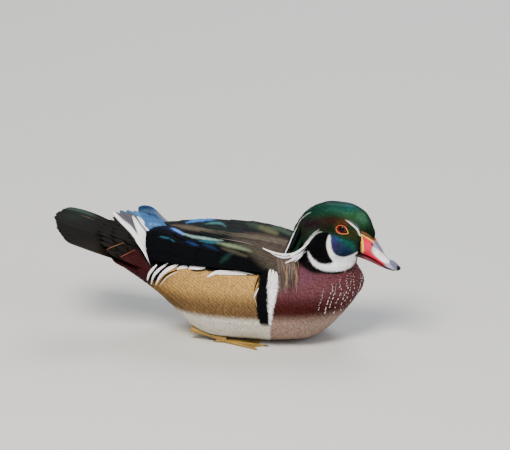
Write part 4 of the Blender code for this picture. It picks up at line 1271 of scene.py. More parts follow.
def primaryGrids(side):
    grids = []
    for i in range(primaries["count"]):
        share = i / (primaries["count"] - 1)
        root, bend, tip = (
            Vector(a).lerp(Vector(b), share)
            for a, b in zip(primaries["low"][side > 0], primaries["top"][side > 0])
        )
        tip.z += primaries["bulges"][side > 0] * 4 * share * (1 - share)
        half = mix(*primaries["halves"], 1.0 if side > 0 else share)
        mirror = Vector((1, side, 1))
        root, bend, tip = root * mirror, bend * mirror, tip * mirror
        face = Vector(primaries["faces"][side > 0])

        def place(along, across, lift):
            spotHere = root.lerp(bend, along).lerp(bend.lerp(tip, along), along)
            ahead = ((bend - root) * (1 - along) + (tip - bend) * along).normalized()
            sideways = ahead.cross(face).normalized()
            up = sideways.cross(ahead).normalized()
            spotHere += sideways * across * half + up * lift
            near, normal, _, _ = skinTree.find_nearest(spotHere)
            out = (spotHere - near).dot(normal)
            return spotHere + normal * max(0.0, primaries["clear"] - out) if out < primaries["clear"] else spotHere

        grids.append(vaneGrid(place, (0, 0), (1, 0), 1.0, (0, 0), "primary", side * primaries["roll"],
                              primaries["size"]))
    return grids


# The near wing's white edges lie where the picture has them; the far one shows its blue upper webs.
whiteWebs = (
    [(111.6, 212), (113.4, 210.6), (119, 215.8), (124.4, 220.8), (130.6, 225.6), (135.6, 231.8), (139.4, 237.4),
     (143.6, 240.4), (145, 245), (145, 250), (146.4, 256.4), (148.8, 262.4), (150.2, 268), (147.6, 266.4),
     (143.4, 262.2), (140.6, 256.4), (138.9, 250.4), (138.4, 244.6), (136.6, 239.4), (129.6, 231.4), (119.6, 221.4)],
    [(132.6, 216.8), (134.8, 217.4), (139.8, 223.9), (146.4, 232.6), (147.2, 236), (145.4, 240.8), (142.6, 241),
     (139.6, 237.4), (138.2, 234), (135, 225)],
    [(137.8, 217.8), (139.8, 217.6), (144, 221.6), (145, 226.2), (149, 229.6), (148.4, 232.2), (142.2, 224.6)],
)
# the edges of the white, as (down, across), left and right, beyond which the black of rump and wing begins
whiteLeft = ((210.0, 110.8), (221.4, 119.0), (231.4, 129.0), (239.4, 136.2), (250.4, 138.4), (262.2, 142.8),
             (267, 148.4), (270, 152))
whiteRight = ((233.0, 148.8), (240.4, 145.4), (250.0, 145.4), (262.4, 149.0), (268.0, 150.4), (280.0, 152.0))

# Blue, pale and dark lines of the vanes, as points, half widths, colour and softness.
primaryMarks = {
    "far": (
        ([(139, 208.6), (147, 207.2), (153, 208.6)], [0.5, 0.9, 0.5], "2b4a7c", 0.9),
        ([(140, 212), (148, 211), (157, 214.4), (165, 221)], [0.8, 1.8, 2.2, 1], "6482a8", 1.2),
        ([(142, 214.8), (149, 214.4), (157, 215.6)], [0.4, 0.8, 0.4], "2c4f84", 0.9),
        ([(150, 221.6), (156, 221.8), (163, 222.8)], [0.4, 0.7, 0.4], "34589a", 0.8),
        ([(139, 218), (143, 222.5), (148, 228.6)], [0.6, 2.2, 1.8], "f0f2f4", 0.7),
        ([(156.6, 211.6), (162, 216.8), (170, 224.4)], [0.3, 0.6, 0.6], "a58a78", 0.4),
    ),
    "near": (
        ([(130, 209), (137, 213), (142, 222)], [2, 2.4, 1], "44709c", 1.5),
        ([(140, 215.6), (149, 216.6), (157, 217.8)], [0.3, 0.7, 0.4], "274a80", 0.8),
        ([(144, 221), (152, 221.6), (160, 222.6)], [0.2, 0.4, 0.3], "2c548c", 0.7),
        ([(146, 224.6), (152, 224), (160, 224.4)], [0.2, 0.5, 0.3], "5f8ec2", 0.8),
    ),
    "nearShafts": (
        ([(135.4, 215.6), (141, 223.4), (147.8, 232.6)], [0.3, 0.4, 0.3], "2a2228", 0.4),
        ([(131.8, 217.6), (134.2, 225), (138.2, 233.4)], [0.4, 0.35, 0.1], "2a2228", 0.4),
    ),
}


def primaryColours(points, side):
    places = picturePlace(points) if side > 0 else markingPlace(points)
    x, y = places.T
    n = len(points)
    colours = plainColours(points, "4b6d97" if side > 0 else "3e6088")
    gloss = np.full(n, 0.3)
    if side > 0:
        paintLines(colours, places, primaryMarks["far"])
        return colours, gloss
    web = smoothStep(141, 135, x)
    paint(colours, web, "524f57")
    paint(colours, web * smoothStep(215, 211, y), "3f5a6c")
    paintLines(colours, places, primaryMarks["near"])
    white = np.zeros(n)
    for outline in whiteWebs:
        white = np.maximum(white, patchCover(places, outline, 0.45, headMarks["fineSamples"]))
    white = np.maximum(white, smoothStep(233, 237, y))
    paint(colours, white, "fdfcfc")
    paintLines(colours, places, primaryMarks["nearShafts"])
    dark = smoothStep(0.2, -0.8, x - np.interp(y, *zip(*whiteLeft)))
    dark = np.maximum(dark, smoothStep(-0.2, 0.8, x - np.interp(y, *zip(*whiteRight))) * smoothStep(231, 234, y))
    paint(colours, dark, "0a090a")
    white *= 1 - dark
    gloss *= 1 - 0.9 * white
    return colours, gloss


for side, word in sides:
    draw = random.Random(21 + side)
    grids = []
    for count, root, tip, half, lift in wing["tiers"]:
        for i in range(count):
            down = (i + 0.5) / count
            start = root + draw.uniform(-1.5, 1.5) * mm
            end = tip + draw.uniform(-2, 2) * mm if tip else np.interp(down, wingEnd[:, 0], wingEnd[:, 1])
            start, end = min(start, wingFront(down)), min(end, wingFront(down) - 8 * mm)
            grids.append(vaneGrid(
                lambda a, b, c: wingPlace(side, a, b, c), (start, down), (end, down + draw.uniform(-0.01, 0.01)),
                half, (wing["rootLift"], lift), "broad" if tip else "blunt", wing["roll"],
                size=(27, 9), sweep=0.035 if tip else 0.006,
            ))
    featherPiece("wingFeathers" + word, grids, lambda p: wingColours(p, side), "wing_" + word.lower(),
                 slot="wing_feathers")

    def padPlace(a, b):
        return wingPlace(side, mix(-0.090, wingFront(b) - 1 * mm, a), b, wing["baseLift"])

    baseSheet("wingBase" + word, padPlace, (26, 16), lambda p: wingColours(p, side), 1.2 * mm, "wing_feathers")
    featherPiece("primaries" + word, primaryGrids(side), lambda p: primaryColours(p, side), slot="wing_feathers")

makeMantle()
print("wings laid")


tail = {
    "root": (-0.1000, 0.0800),
    "tip": (-0.2050, 0.1100),
    "halfWidths": (0.0330, 0.0440),
    "rounding": 0.0125,  # how much shorter its edges are than its middle
    "skew": 0.0070,
    # how far its right and its left edge hang below its middle, at the root and at the tip
    "droops": ((0.0240, 0.0055), (0.0020, 0.0018)),
    "curl": 0.0055,
    "tilt": 0.0020,
    "quills": 14,
    "quillHalf": 0.15,
    "spread": 0.91,
    "stack": 0.0024,  # how far its middle quills lie over the outer ones
    "roll": 0.35 * mm,
    # coverts: count, root, tip, spread, half width, height over the quills at root and tip
    "coverts": (
        (9, 0.02, 0.58, 0.88, 0.13, 6.4 * mm, 5.2 * mm),
        (8, -0.06, 0.44, 0.86, 0.15, 7.8 * mm, 6.6 * mm),
        (7, -0.12, 0.28, 0.80, 0.17, 9.0 * mm, 8.0 * mm),
        (6, -0.16, 0.12, 0.70, 0.19, 9.8 * mm, 8.2 * mm),
        (8, 0.00, 0.52, 0.80, 0.14, -5.0 * mm, -2.6 * mm),
        (7, -0.06, 0.36, 0.74, 0.15, -6.6 * mm, -4.0 * mm),
    ),
}


def tailPlace(share, across, lift=0.0):
    x = mix(tail["root"][0], tail["tip"][0], share)
    z = mix(tail["root"][1], tail["tip"][1], share)
    half = mix(*tail["halfWidths"], float(smoothStep(0, 1, share * 1.25)))
    droop = mix(*tail["droops"][across > 0], 1 - (1 - share) ** 2)
    x += (tail["rounding"] * across ** 2 - tail["skew"] * across) * share
    z += tail["tilt"] * across * share - droop * across ** 2
    if across > 0 and share > 0:
        z += tail["curl"] * 4 * share * (1 - share) * across ** 2
    return Vector((x, half * across, z + lift))


def tailColours(points):
    places = picturePlace(points)
    colours = plainColours(points, "14110d")
    gloss = np.full(len(points), 0.06)
    x, y = places.T
    sheen = lineCover(places, [(64.0, 208.0), (78.0, 210.0), (96.0, 216.4)], [0.5, 1.5, 1.0], 1.3)
    paint(colours, sheen * 0.7, "3f4f48")
    paint(colours, spot(places, 76, 216, 14, 5) * 0.5, "1d2b24")
    paint(colours, smoothStep(236, 256, y) * smoothStep(120, 80, x) * 0.8, "2b241c")
    paint(colours, patchCover(places, bodyMarks["maroon"], 1.2) * (points[:, 1] < 0), "371619")
    gloss += 0.15 * sheen
    return colours, gloss


def makeTail():
    draw = random.Random(31)
    grids = []
    for i in range(tail["quills"]):
        across = mix(-tail["spread"], tail["spread"], i / (tail["quills"] - 1))
        lift = tail["stack"] * (0.5 - abs(across))
        end = 1.0 + draw.uniform(-0.014, 0.008)
        grids.append(vaneGrid(tailPlace, (0.05, across * 0.75), (end, across), tail["quillHalf"], (0.0, lift),
                              "quill", math.copysign(tail["roll"], across), sweep=0.018))
    for count, root, tip, spread, half, low, high in tail["coverts"]:
        for i in range(count):
            across = mix(-spread, spread, i / (count - 1))
            end = tip - 0.10 * across ** 2 + draw.uniform(-0.02, 0.02)
            roll = math.copysign(tail["roll"], across * high)
            grids.append(vaneGrid(tailPlace, (root, across * 0.85), (end, across), half, (low, high), "broad", roll))
    featherPiece("tailFeathers", grids, tailColours, "tail", slot="tail_feathers")

    def padPlace(a, b):
        return tailPlace(mix(-0.10, 0.46, a), mix(-0.84, 0.84, b), mix(6.0 * mm, 0.8 * mm, a))

    baseSheet("tailBase", padPlace, (12, 12), tailColours, 2.2 * mm, "tail_feathers")


makeTail()
print("tail laid")


# What the plumes are cast on: the dressed bird, or for those of the shoulder only what lies under them.
surfaceTrees = [skinTree]
shoulderTrees = []
for piece in bpy.data.objects:
    if piece.name.startswith(("wingFeathers", "primaries", "mantleFeathers", "tailFeathers", "crestLocks",
                              "bodyFeathers", "headFeathers")):
        vertices = [v.co.copy() for v in piece.data.vertices]
        surfaceTrees.append(BVHTree.FromPolygons(vertices, [tuple(p.vertices) for p in piece.data.polygons]))
        if piece.name.startswith(("wingFeathers", "mantleFeathers", "bodyFeathers")):
            shoulderTrees.append(surfaceTrees[-1])


# Point of the dressed bird behind a place of the picture, with its outward normal and its distance.
def castPlace(place, trees):
    start = placeInPicture(*place) + viewBack
    best = None
    for tree in trees:
        hit, normal, _, far = tree.ray_cast(start, -viewBack)
        if hit is not None and (best is None or far < best[2]):
            best = (hit, normal if normal.dot(viewBack) > 0 else -normal, far)
    return best


# Distances along a plume that bridges the hollows that it crosses, as a stretched thread would.
def tautFars(fars):
    kept = []
    for i, far in enumerate(fars):
        while len(kept) > 1:
            (a, farA), (b, farB) = kept[-2:]
            if (farB - farA) * (i - a) < (far - farA) * (b - a):
                break
            kept.pop()
        kept.append((i, far))
    return np.interp(range(len(fars)), *zip(*kept))


# Grid of a narrow plume along a line of the picture, lying on the bird, with half widths in pixels.
# Its edges hang below its middle by curl times the half width.
def plumeGrid(line, widths, lift, samples=12, columns=5, taut=False, trees=None, curl=0.18):
    line = curveThrough(line, samples)
    hits = [castPlace(p, trees or surfaceTrees) for p in line]
    hits = [h for h in hits if h]
    if len(hits) < 4:
        return None
    if taut:
        fars = tautFars([h[2] for h in hits])
        hits = [(h[0] + viewBack * (h[2] - far), h[1], far) for h, far in zip(hits, fars)]
    points = [h[0] for h in hits]
    smooth = [points[0]] + [(a + b * 2 + c) / 4 for a, b, c in zip(points, points[1:], points[2:])] + [points[-1]]
    rows = []
    for i, point in enumerate(smooth):
        near = hits[max(0, i - 2):i + 3]
        normal = sum((h[1] for h in near), Vector()).normalized()
        ahead = (smooth[min(i + 1, len(smooth) - 1)] - smooth[max(i - 1, 0)]).normalized()
        sideways = normal.cross(ahead).normalized()
        share = i / (len(smooth) - 1)
        half = np.interp(share, np.linspace(0, 1, len(widths)), widths) * view["pixel"]
        rise = lift * math.sin(math.pi * min(0.5, 0.12 + share)) + 0.1 * mm
        rows.append([
            point + sideways * (c * half) + normal * (rise - curl * half * c * c)
            for c in np.linspace(-1, 1, columns)
        ])
    while len(rows) < samples:  # where the line leaves the bird, the plume ends short
        rows.append(rows[-1])
    return rows


def mirrored(rows, onHead=False):
    if not onHead:
        return [[Vector((p.x, -p.y, p.z)) for p in row[::-1]] for row in rows]
    out = []
    for row in rows:
        local = headLocal([tuple(p) for p in row[::-1]])
        out.append([headPlace(forward, -left, up) for forward, left, up in local])
    return out


# A piece of many small grids, each of one colour.
def toneGrids(name, grids, codes, material, slot):
    points = gridArray(grids)
    spots, cell = cells(len(points))
    mesh = gridsToMesh(name, points, spots, cell)
    colours = np.repeat([hexColour(code) for code in codes], points.shape[1] * points.shape[2], axis=0)
    setColours(mesh, colours, np.full(len(colours), 0.05))
    linkPiece(name, mesh, material, slot=slot)


# Both sides: True mirrors the plumes about the body's middle, and "head" about the head's.
# Depths are how far behind the cast plume, as the camera sees it, its copies lie.
def plumePiece(name, plumes, lift, both, slot, step=0.0, material=None, depths=(0.0,), **shape):
    grids, codes = [], []
    for number, (line, widths, code) in enumerate(plumes):
        rows = plumeGrid(line, widths, lift + step * number, **shape)
        if rows is None:
            continue
        for depth in depths:
            grids.append([[point - viewBack * depth for point in row] for row in rows])
            codes.append(code)
        if both:
            grids.append(mirrored(rows, both == "head"))
            codes.append(code)
    toneGrids(name, grids, codes, material or flightVane, slot)


flankBars = [
    ([(147.4, 283.2), (148.8, 275.4), (152.2, 270), (157.2, 264.8)], [0.4, 1.2, 1.4, 0.6], "fdfcfc"),
    ([(149.6, 283.8), (151.4, 275.8), (155.4, 270.2), (162.8, 263)], [0.4, 0.9, 1.2, 0.7], "08080b"),
    ([(151.4, 284), (153.8, 276), (158.6, 270.2), (168.6, 262.8)], [0.3, 1.2, 1.5, 0.6], "fdfcfc"),
    ([(154, 284.6), (157, 276.8), (162, 270.8), (173, 263.4)], [0.3, 0.9, 1.3, 0.8], "08080b"),
    ([(156, 284.8), (159.6, 277.4), (165, 271.6), (171.5, 267.6), (178.4, 264.4)], [0.3, 1.2, 1.9, 2, 1],
     "fdfcfc"),
    ([(159, 284.6), (163, 278.4), (168.6, 273.6), (178, 269.8)], [0.2, 0.6, 0.8, 0.4], "0b0a0a"),
    ([(161, 284.8), (165.4, 279), (171, 274.6), (179, 271.6)], [0.2, 0.5, 0.5, 0.2], "e6ded0"),
    ([(177.4, 269.4), (181, 267.4), (184.6, 266.6), (187.8, 266.8)], [0.5, 1.9, 2.3, 1.6], "f2f1ef"),
    ([(189, 267.6), (193, 266.8), (199, 267.2), (205.6, 267.6)], [1.6, 2.6, 2.6, 0.9], "fdfcfc"),
    ([(191, 270.6), (198, 270.8), (205, 270.4)], [0.3, 0.6, 0.3], "1a1715"),
    ([(207.6, 276.6), (210.6, 275.2), (214, 273.4), (219, 272.2)], [0.6, 1.1, 1.7, 0.8], "fdfcfc"),
    ([(211, 273.6), (218, 272.2), (229, 272.6), (238, 273.6), (247, 274.6)], [0.6, 2.3, 2.1, 1.3, 0.2],
     "f2f1ef"),
    # painted shade: grey along the upper edge of the long white bar
    ([(226, 271.2), (236, 271.6), (245, 272.8), (254, 274.6)], [0.4, 1.2, 0.8, 0.1], "cfcac4"),
]
plumePiece("flankBars", flankBars, 0.6 * mm, True, "body_feathers", taut=True)

# the tops of the bars lie over the wing's front end
barTops = [
    ([(265.4, 269.2), (263.2, 273.4), (261.8, 279), (261, 286)], [0.4, 1.5, 1.7, 0.7], "08080a"),
    ([(267, 268.4), (265.4, 273), (264.6, 279), (264.2, 287)], [0.4, 1.5, 1.9, 0.9], "08080a"),
    ([(270.6, 269.2), (269.6, 273), (269.5, 279), (269.8, 287)], [0.5, 1.3, 1.5, 0.7], "fbfafa"),
    ([(273, 269.8), (272.8, 274), (273, 280), (273, 288)], [0.5, 1.8, 2.2, 0.9], "fdfcfc"),
    ([(275.6, 271.6), (276.2, 275), (276.2, 280), (275.4, 288)], [0.4, 1.3, 1.5, 0.7], "fbfafa"),
    # the buff flank's dark end edge, partly its own outline and partly painted shadow that the flank casts
    ([(260.6, 274), (257.8, 279), (255.6, 285.6), (253.9, 291.6)], [0.3, 0.7, 0.6, 0.15], "1c120a"),
    ([(258.8, 287), (256.8, 290.8), (255, 294.6), (253.8, 297.6)], [0.05, 0.6, 0.7, 0.1], "f4f2f0"),
    ([(254.4, 297), (255.6, 301), (256.8, 306)], [0.2, 0.3, 0.1], "cbb08a"),
]
plumePiece("barTops", barTops, 0.6 * mm, True, "body_feathers", step=0.06 * mm, taut=True)

napeLocks = [
    ([(294, 240), (291.6, 246), (290, 252)], [1, 1.6, 1.2], "0a0f0c"),
    ([(300, 226), (296.2, 233), (291.6, 241.6), (287.6, 249), (283.6, 254.4)], [1.2, 2.6, 3, 2.4, 0.5],
     "0b120e"),
    ([(301, 236), (298, 243), (295, 249), (291, 253.4)], [1.6, 2.6, 2.6, 1], "0f2317"),
    ([(297.2, 227), (294.8, 232.4), (291.6, 239.4), (288.2, 246.4), (284.2, 255)], [0.15, 0.4, 0.6, 0.6, 0.4],
     "f1f0f2"),
    ([(292.2, 240.6), (290.4, 246), (289.6, 252.4)], [0.1, 0.4, 0.2], "e2e1e4"),
    ([(309, 242), (303, 247.6), (297, 252.2), (291, 254.4), (282.4, 254.8), (271, 252), (262.8, 248.6)],
     [0.5, 1.1, 1.5, 1.6, 1.5, 1.2, 0.6], "fdfcfc"),
    ([(303, 249.4), (296, 255), (288, 257.6), (279, 256.8), (271, 253.8)],
     [0.6, 1.3, 1.5, 1.1, 0.2], "e9e8ea"),
    ([(306, 248), (300, 254), (293.6, 259), (285, 263.4)], [0.5, 1.3, 1.8, 0.5], "f1f0f2"),
    ([(304.6, 251.6), (300.4, 256.6), (294, 262.6)], [0.4, 1, 0.2], "f1f0f2"),
    ([(306, 251), (302, 255), (300, 256.6)], [0.3, 0.7, 0.2], "e4e3e8"),
]
plumePiece("napeLocks", napeLocks, 0.7 * mm, False, "head_feathers", step=0.06 * mm, taut=True, curl=0.9)
# the rest of the hanging crest, hidden from the camera behind those locks
napeUnder = [(line, [0.85 * w for w in widths], "0b120e") for line, widths, code in napeLocks]
plumePiece("napeUnder", napeUnder, 0.7 * mm, False, "head_feathers", taut=True, curl=0.9,
           depths=np.arange(1.2, 9.0, 1.8) * mm)

# brown plumes over the wing's front corner, and fine strands over them
shoulder = {
    "plumes": 9,
    "first": 278.6,
    "step": 1.55,
    "codes": ("574942", "60524a", "4f423d"),
    "strands": 44,
    "firstStrand": 280.0,
    "strandStep": 0.38,
    "strandCodes": ("94826a", "5a4b44", "9a7750", "6b5c52", "8a7a6e", "4d403c"),
}
draw = random.Random(59)
shoulderPlumes = []
for i in range(shoulder["plumes"]):
    across = shoulder["first"] + shoulder["step"] * i
    shoulderPlumes.append((
        [(across - 1.2, 256.0 + draw.uniform(-1, 2)), (across, 266.0), (across + 0.9, 276.0),
         (across + 1.6, 284.0 + draw.uniform(-5, 6))],
        [0.4, 1.3, 1.4, 0.3], draw.choice(shoulder["codes"]),
    ))
plumePiece("shoulderPlumes", shoulderPlumes, 0.5 * mm, True, "body_feathers", step=0.04 * mm, taut=True,
           trees=shoulderTrees)
plumePiece("backPlume", [([(219.0, 238.2), (231.0, 240.4), (243.0, 242.6), (254.0, 245.0)], [0.1, 0.35, 0.4, 0.1],
                          "8f8072")], 0.5 * mm, False, "wing_feathers")

draw = random.Random(41)
strands = []
for i in range(shoulder["strands"]):
    across = shoulder["firstStrand"] + i * shoulder["strandStep"] + draw.uniform(-0.5, 0.5)
    top = 258 + draw.uniform(0, 12)
    long = draw.uniform(10, 28)
    bend = draw.uniform(-1.0, 1.5)
    strands.append((
        [(across, top), (across + 1.5 + bend, top + long / 2), (across + 1.0, top + long)],
        [0.12, draw.uniform(0.2, 0.36), 0.08], draw.choice(shoulder["strandCodes"]),
    ))
plumePiece("shoulderStrands", strands, 0.95 * mm, True, "body_feathers", taut=True, trees=shoulderTrees)

tailPlumes = [
    ([(106.4, 249.7), (115, 246.2), (123.8, 243.1)], [0.12, 0.4, 0.16], "8f6042"),
    ([(80, 215.4), (87.4, 218), (94.4, 220.8)], [0.1, 0.28, 0.1], "7d6c5a"),
]
plumePiece("tailPlume", tailPlumes, 0.5 * mm, False, "tail_feathers", taut=True)
plumePiece("rumpPlumes", [([(116.3, 259.4), (125.0, 255.0), (135.4, 249.9)], [0.1, 0.38, 0.14], "8a5138")], 0.5 * mm,
           True, "body_feathers")

# Arcs of pale flecks on the breast, from the lowest and largest up to the smallest.
fleckArcs = [
    [(318.4, 309), (321, 298), (323.6, 286)],
    [(324.6, 312), (327.4, 301), (332, 289.6), (332.2, 282)],
    [(334, 312), (337.4, 298.6), (340.4, 290.6), (339, 283.6), (340.2, 277)],
    [(340, 309), (343.6, 297), (347.2, 288), (345.4, 280.6), (347.4, 274.6)],
    [(348, 306), (351.8, 294.6), (354.2, 286), (353, 278), (354.2, 271)],
    [(354, 301), (358, 291), (359.6, 281.6), (359, 271)],
    [(359.6, 294), (362.2, 285.6), (361.4, 276), (360, 269.6)],
    [(329, 306), (333.6, 294), (336, 284)],
    [(345, 300), (349.6, 288), (350, 278), (350.6, 272)],
]
fleck = {
    "length": 2.9 * mm,
    "half": 0.62 * mm,
    "lifts": (0.9 * mm, 1.6 * mm),  # over the skin, so that only the tips show among the breast feathers
    "shape": ((0, 0.20), (0.35, 0.60), (0.65, 1), (0.86, 0.85), (1, 0.20)),
    "sizes": (0.42, 1),  # at the end and at the start of an arc
    "steps": (3.4, 5.6),
    "faintArcs": (0, 7, 8),
    "code": "f1e9e4",
    "smallSpacing": 2.5 * mm,
    "smallSizes": (0.28, 0.52),
    "smallCodes": ("d8bdb6", "c9aba4", "e6d6d0"),
}


# One fleck is the pale tip of one breast feather.
def fleckRows(spotHere, size):
    root, normal, _, _ = skinTree.find_nearest(spotHere)
    lie = Vector(lieAt(np.array([root]))[0])
    length = fleck["length"] * size
    return layFeather(
        skinTree, root - lie * length * 0.5, normal, lie, length, fleck["half"] * size, fleck["lifts"], fleck["shape"]
    )


def makeFlecks():
    draw = random.Random(47)
    grids, codes = [], []
    samples = 60
    for number, arc in enumerate(fleckArcs):
        arcLine = curveThrough(arc, samples)
        faint = 0.75 if number in fleck["faintArcs"] else 1.0
        place = 0.0
        while place < samples - 1:
            hit = castPlace(
                arcLine[int(place)] + (draw.uniform(-0.6, 0.6), draw.uniform(-0.5, 0.5)), surfaceTrees
            )
            near = (1 - place / (samples - 1)) ** 0.9
            rows = fleckRows(hit[0], mix(*fleck["sizes"], near) * faint * draw.uniform(0.75, 1.15)) if hit else None
            if rows and hit[0].y < -1.5 * mm:
                grids += [rows, mirrored(rows)]
                codes += [fleck["code"]] * 2
            place += mix(*fleck["steps"], near) * draw.uniform(0.8, 1.5)

    def onFront(points):
        return (points[:, 0] > 0.094) & (points[:, 2] > 0.031) & (points[:, 2] < 0.080) & (headShare(points) < 0.5)

    # between the arcs, many smaller ones, thickest at the front
    for spotHere in scatter(skinMesh, fleck["smallSpacing"], onFront, 43)[0]:
        aside = abs(math.atan2(spotHere[1], spotHere[0] - 0.070))
        if draw.random() < 0.75 - 0.55 * aside:
            rows = fleckRows(Vector(spotHere), draw.uniform(*fleck["smallSizes"]))
            if rows:
                grids.append(rows)
                codes.append(draw.choice(fleck["smallCodes"]))
    toneGrids("breastFlecks", grids, codes, contourFeather, "body_feathers")


makeFlecks()
print("marks laid")


billMarks = {
    "red": [(362.6, 236.4), (366.4, 238.4), (371.8, 242.4), (371.6, 246.8), (370.6, 251), (373.6, 255),
            (379, 259.6), (385.4, 264.6), (380, 264.4), (372, 259.6), (363, 253.4)],
    "pale": [(372.6, 248.4), (376, 248.8), (380.6, 252.2), (386, 254.8), (390.4, 258.2), (389.6, 262.4),
             (384, 262.6), (378, 258.6), (373.4, 253.6)],
    "nail": [(389.8, 256), (393.4, 257.2), (398.6, 261), (400.6, 268.8), (396, 270.6), (391.4, 266.4),
             (388.8, 262)],
    # lines, as points, half widths, colour and softness
    # painted highlight: grey along the black ridge
    "ridgeHighlight": [([(372.6, 243.6), (379, 247), (385, 252), (390, 256.6)], [1.2, 1.8, 1.7, 1.2], "918fae", 0.8)],
    "yellow": [
        ([(360.6, 230.8), (364.6, 234.2), (369.6, 238.4), (375.4, 242.4)], [1.4, 1.3, 1.1, 0.5], "e8862e", 0.6),
        ([(360.2, 230.4), (361, 236), (361.8, 241), (362.2, 246), (362.2, 251)], [0.9, 1, 0.9, 0.8, 0.6],
         "f4c04a", 0.5),
    ],
    "nostril": [
        ([(371.4, 243.4), (372.2, 245.4)], [0.7, 0.8], "1a1a20", 0.4),
        ([(387.6, 252.8), (391.4, 257.6)], [0.3, 0.6], "33323e", 0.5),
    ],
    "nailLine": [([(389.8, 258.4), (392.6, 260), (395.6, 262.4), (398.2, 265.2), (399.6, 268.2)],
                  [0.2, 0.5, 0.8, 1.2, 1.2], "08080a", 0.5)],
}


def billColours(points):
    places = markingPlace(points, onHead=True)
    x, y = places.T
    colours = plainColours(points, "a5a1b0")
    local = headLocal(points)
    ridge = smoothStep(4.6 * mm, 1.5 * mm, np.abs(local[:, 1]))
    paint(colours, ridge * 0.85, "5d5b69")
    # painted highlight along the black ridge
    paintLines(colours, places, billMarks["ridgeHighlight"])
    paint(colours, patchCover(places, billMarks["pale"], 1.0), "fdf9f8")
    paint(colours, smoothStep(1.7 * mm, 0.7 * mm, np.abs(local[:, 1])) * 0.8, "56546a")
    paint(colours, spot(places, 380, 254, 3, 3) * 0.4, "e8b7bb")
    paint(colours, patchCover(places, billMarks["red"], 0.8), "dd123c")
    paint(colours, spot(places, 367, 246, 3.2, 5) * 0.5, "e83a5c")
    paint(colours, spot(places, 367, 253, 4, 2.6) * 0.5, "8f1a34")
    paint(colours, smoothStep(363.4, 361.6, x), "b9742c")
    paintLines(colours, places, billMarks["yellow"])
    paint(colours, smoothStep(360.9, 360.1, x), "20180e")
    paint(colours, spot(places, 375.8, 240.4, 2.4, 3.2) * 0.95, "77748c")
    paintLines(colours, places, billMarks["nostril"])
    paint(colours, patchCover(places, billMarks["nail"], 0.9), "6a6980")
    paintLines(colours, places, billMarks["nailLine"])
    paint(colours, smoothStep(395.4, 397.0, x), "050506")
    return colours


def jawColoursAndShade(points):
    places = markingPlace(points, onHead=True)
    # painted shade: the jaw's colour is kept dark, for the shade under the upper bill; it grows darker still towards
    # the gape's corner
    colours = plainColours(points, "5e2a33")
    paint(colours, smoothStep(380, 390, places[:, 0]), "4b4a55")
    paint(colours, smoothStep(364, 360, places[:, 0]), "2a1614")
    return colours


# Living bill: a thin horny skin, smooth and a little moist, pale where the bone is close. Its grain is 1.1 mm wide.
billLook = {"grain": 900.0, "rough": 0.36, "specular": 0.2, "coat": 0.12, "coatRough": 0.2}


def billMaterial():
    material, tree = startMaterial("billHornSkin")
    grain = addPattern(tree, "ShaderNodeTexNoise", {"Scale": billLook["grain"], "Detail": 3.0})
    shade = addNode(
        tree, "ShaderNodeMapRange", {"From Min": 0.3, "From Max": 0.7, "To Min": 0.90, "To Max": 1.08},
        {"Value": grain.outputs["Fac"]},
    )
    bump = addNode(tree, "ShaderNodeBump", {"Strength": 0.2, "Distance": 0.1 * mm}, {"Height": grain.outputs["Fac"]})
    return setShader(material, {
        "Roughness": billLook["rough"], "Specular IOR Level": billLook["specular"], "Coat Weight": billLook["coat"],
        "Coat Roughness": billLook["coatRough"],
    }, {"Base Color": tonedColour(tree, shade.outputs["Result"]), "Normal": bump.outputs["Normal"]})


billHorn = billMaterial()


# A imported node, softened and coloured.
def smoothPiece(name, node, voxel, rounds, material, colourOf, slot):
    mesh = finishShape(*softCopy((node,), voxel, rounds, 0.0))
    mesh.name = name
    points, _ = meshArrays(mesh)
    setColours(mesh, colourOf(points), np.zeros(len(points)))
    linkPiece(name, mesh, material, node, slot=slot)


smoothPiece("billUpper", "bill_upper", 0.45 * mm, 7, billHorn, billColours, "bill_horn")
smoothPiece("billLower", "bill_lower", 0.32 * mm, 9, billHorn, jawColoursAndShade, "bill_horn")

# the folds of skin at the bill's base: an orange-brown one that runs up to the brow, and a yellow one beside it
surfaceTrees.append(BVHTree.FromObject(bpy.data.objects["billUpper"], bpy.context.evaluated_depsgraph_get()))
billFolds = [
    ([(362, 237.2), (366.4, 239.6), (370.8, 243.2)], [0.9, 1.6, 0.9], "dd1233"),
    ([(360.2, 231.6), (364, 233.2), (369, 236.4), (374, 240.6)], [0.7, 1.2, 1.3, 0.6], "6b4824"),
    ([(360.5, 234.2), (364.6, 236.4), (369.6, 239.8), (373.4, 242.6)], [0.6, 0.75, 0.65, 0.4], "f7bf52"),
    ([(360.9, 234), (361.6, 238), (362.8, 244), (363.4, 251.4)], [0.5, 0.8, 0.8, 0.5], "f3bb4a"),
]
plumePiece("billFolds", billFolds, 0.25 * mm, "head", "bill_horn", step=0.06 * mm, material=billHorn)


eye = {
    "radius": 5.8 * mm,
    "side": 12.8 * mm,
    "pupil": 3.0 * mm,
    "pupilAt": (0.1 * mm, 0.5 * mm),  # forward, up
    "corneaRise": 0.5 * mm,
    "corneaRadius": 3.6 * mm,
    "streaks": 1600.0,  # 0.6 mm wide
    # iris: share of the eye's radius, colour
    "iris": ((0.68, "65120a"), (0.80, "3c0906"), (0.95, "120303")),
}


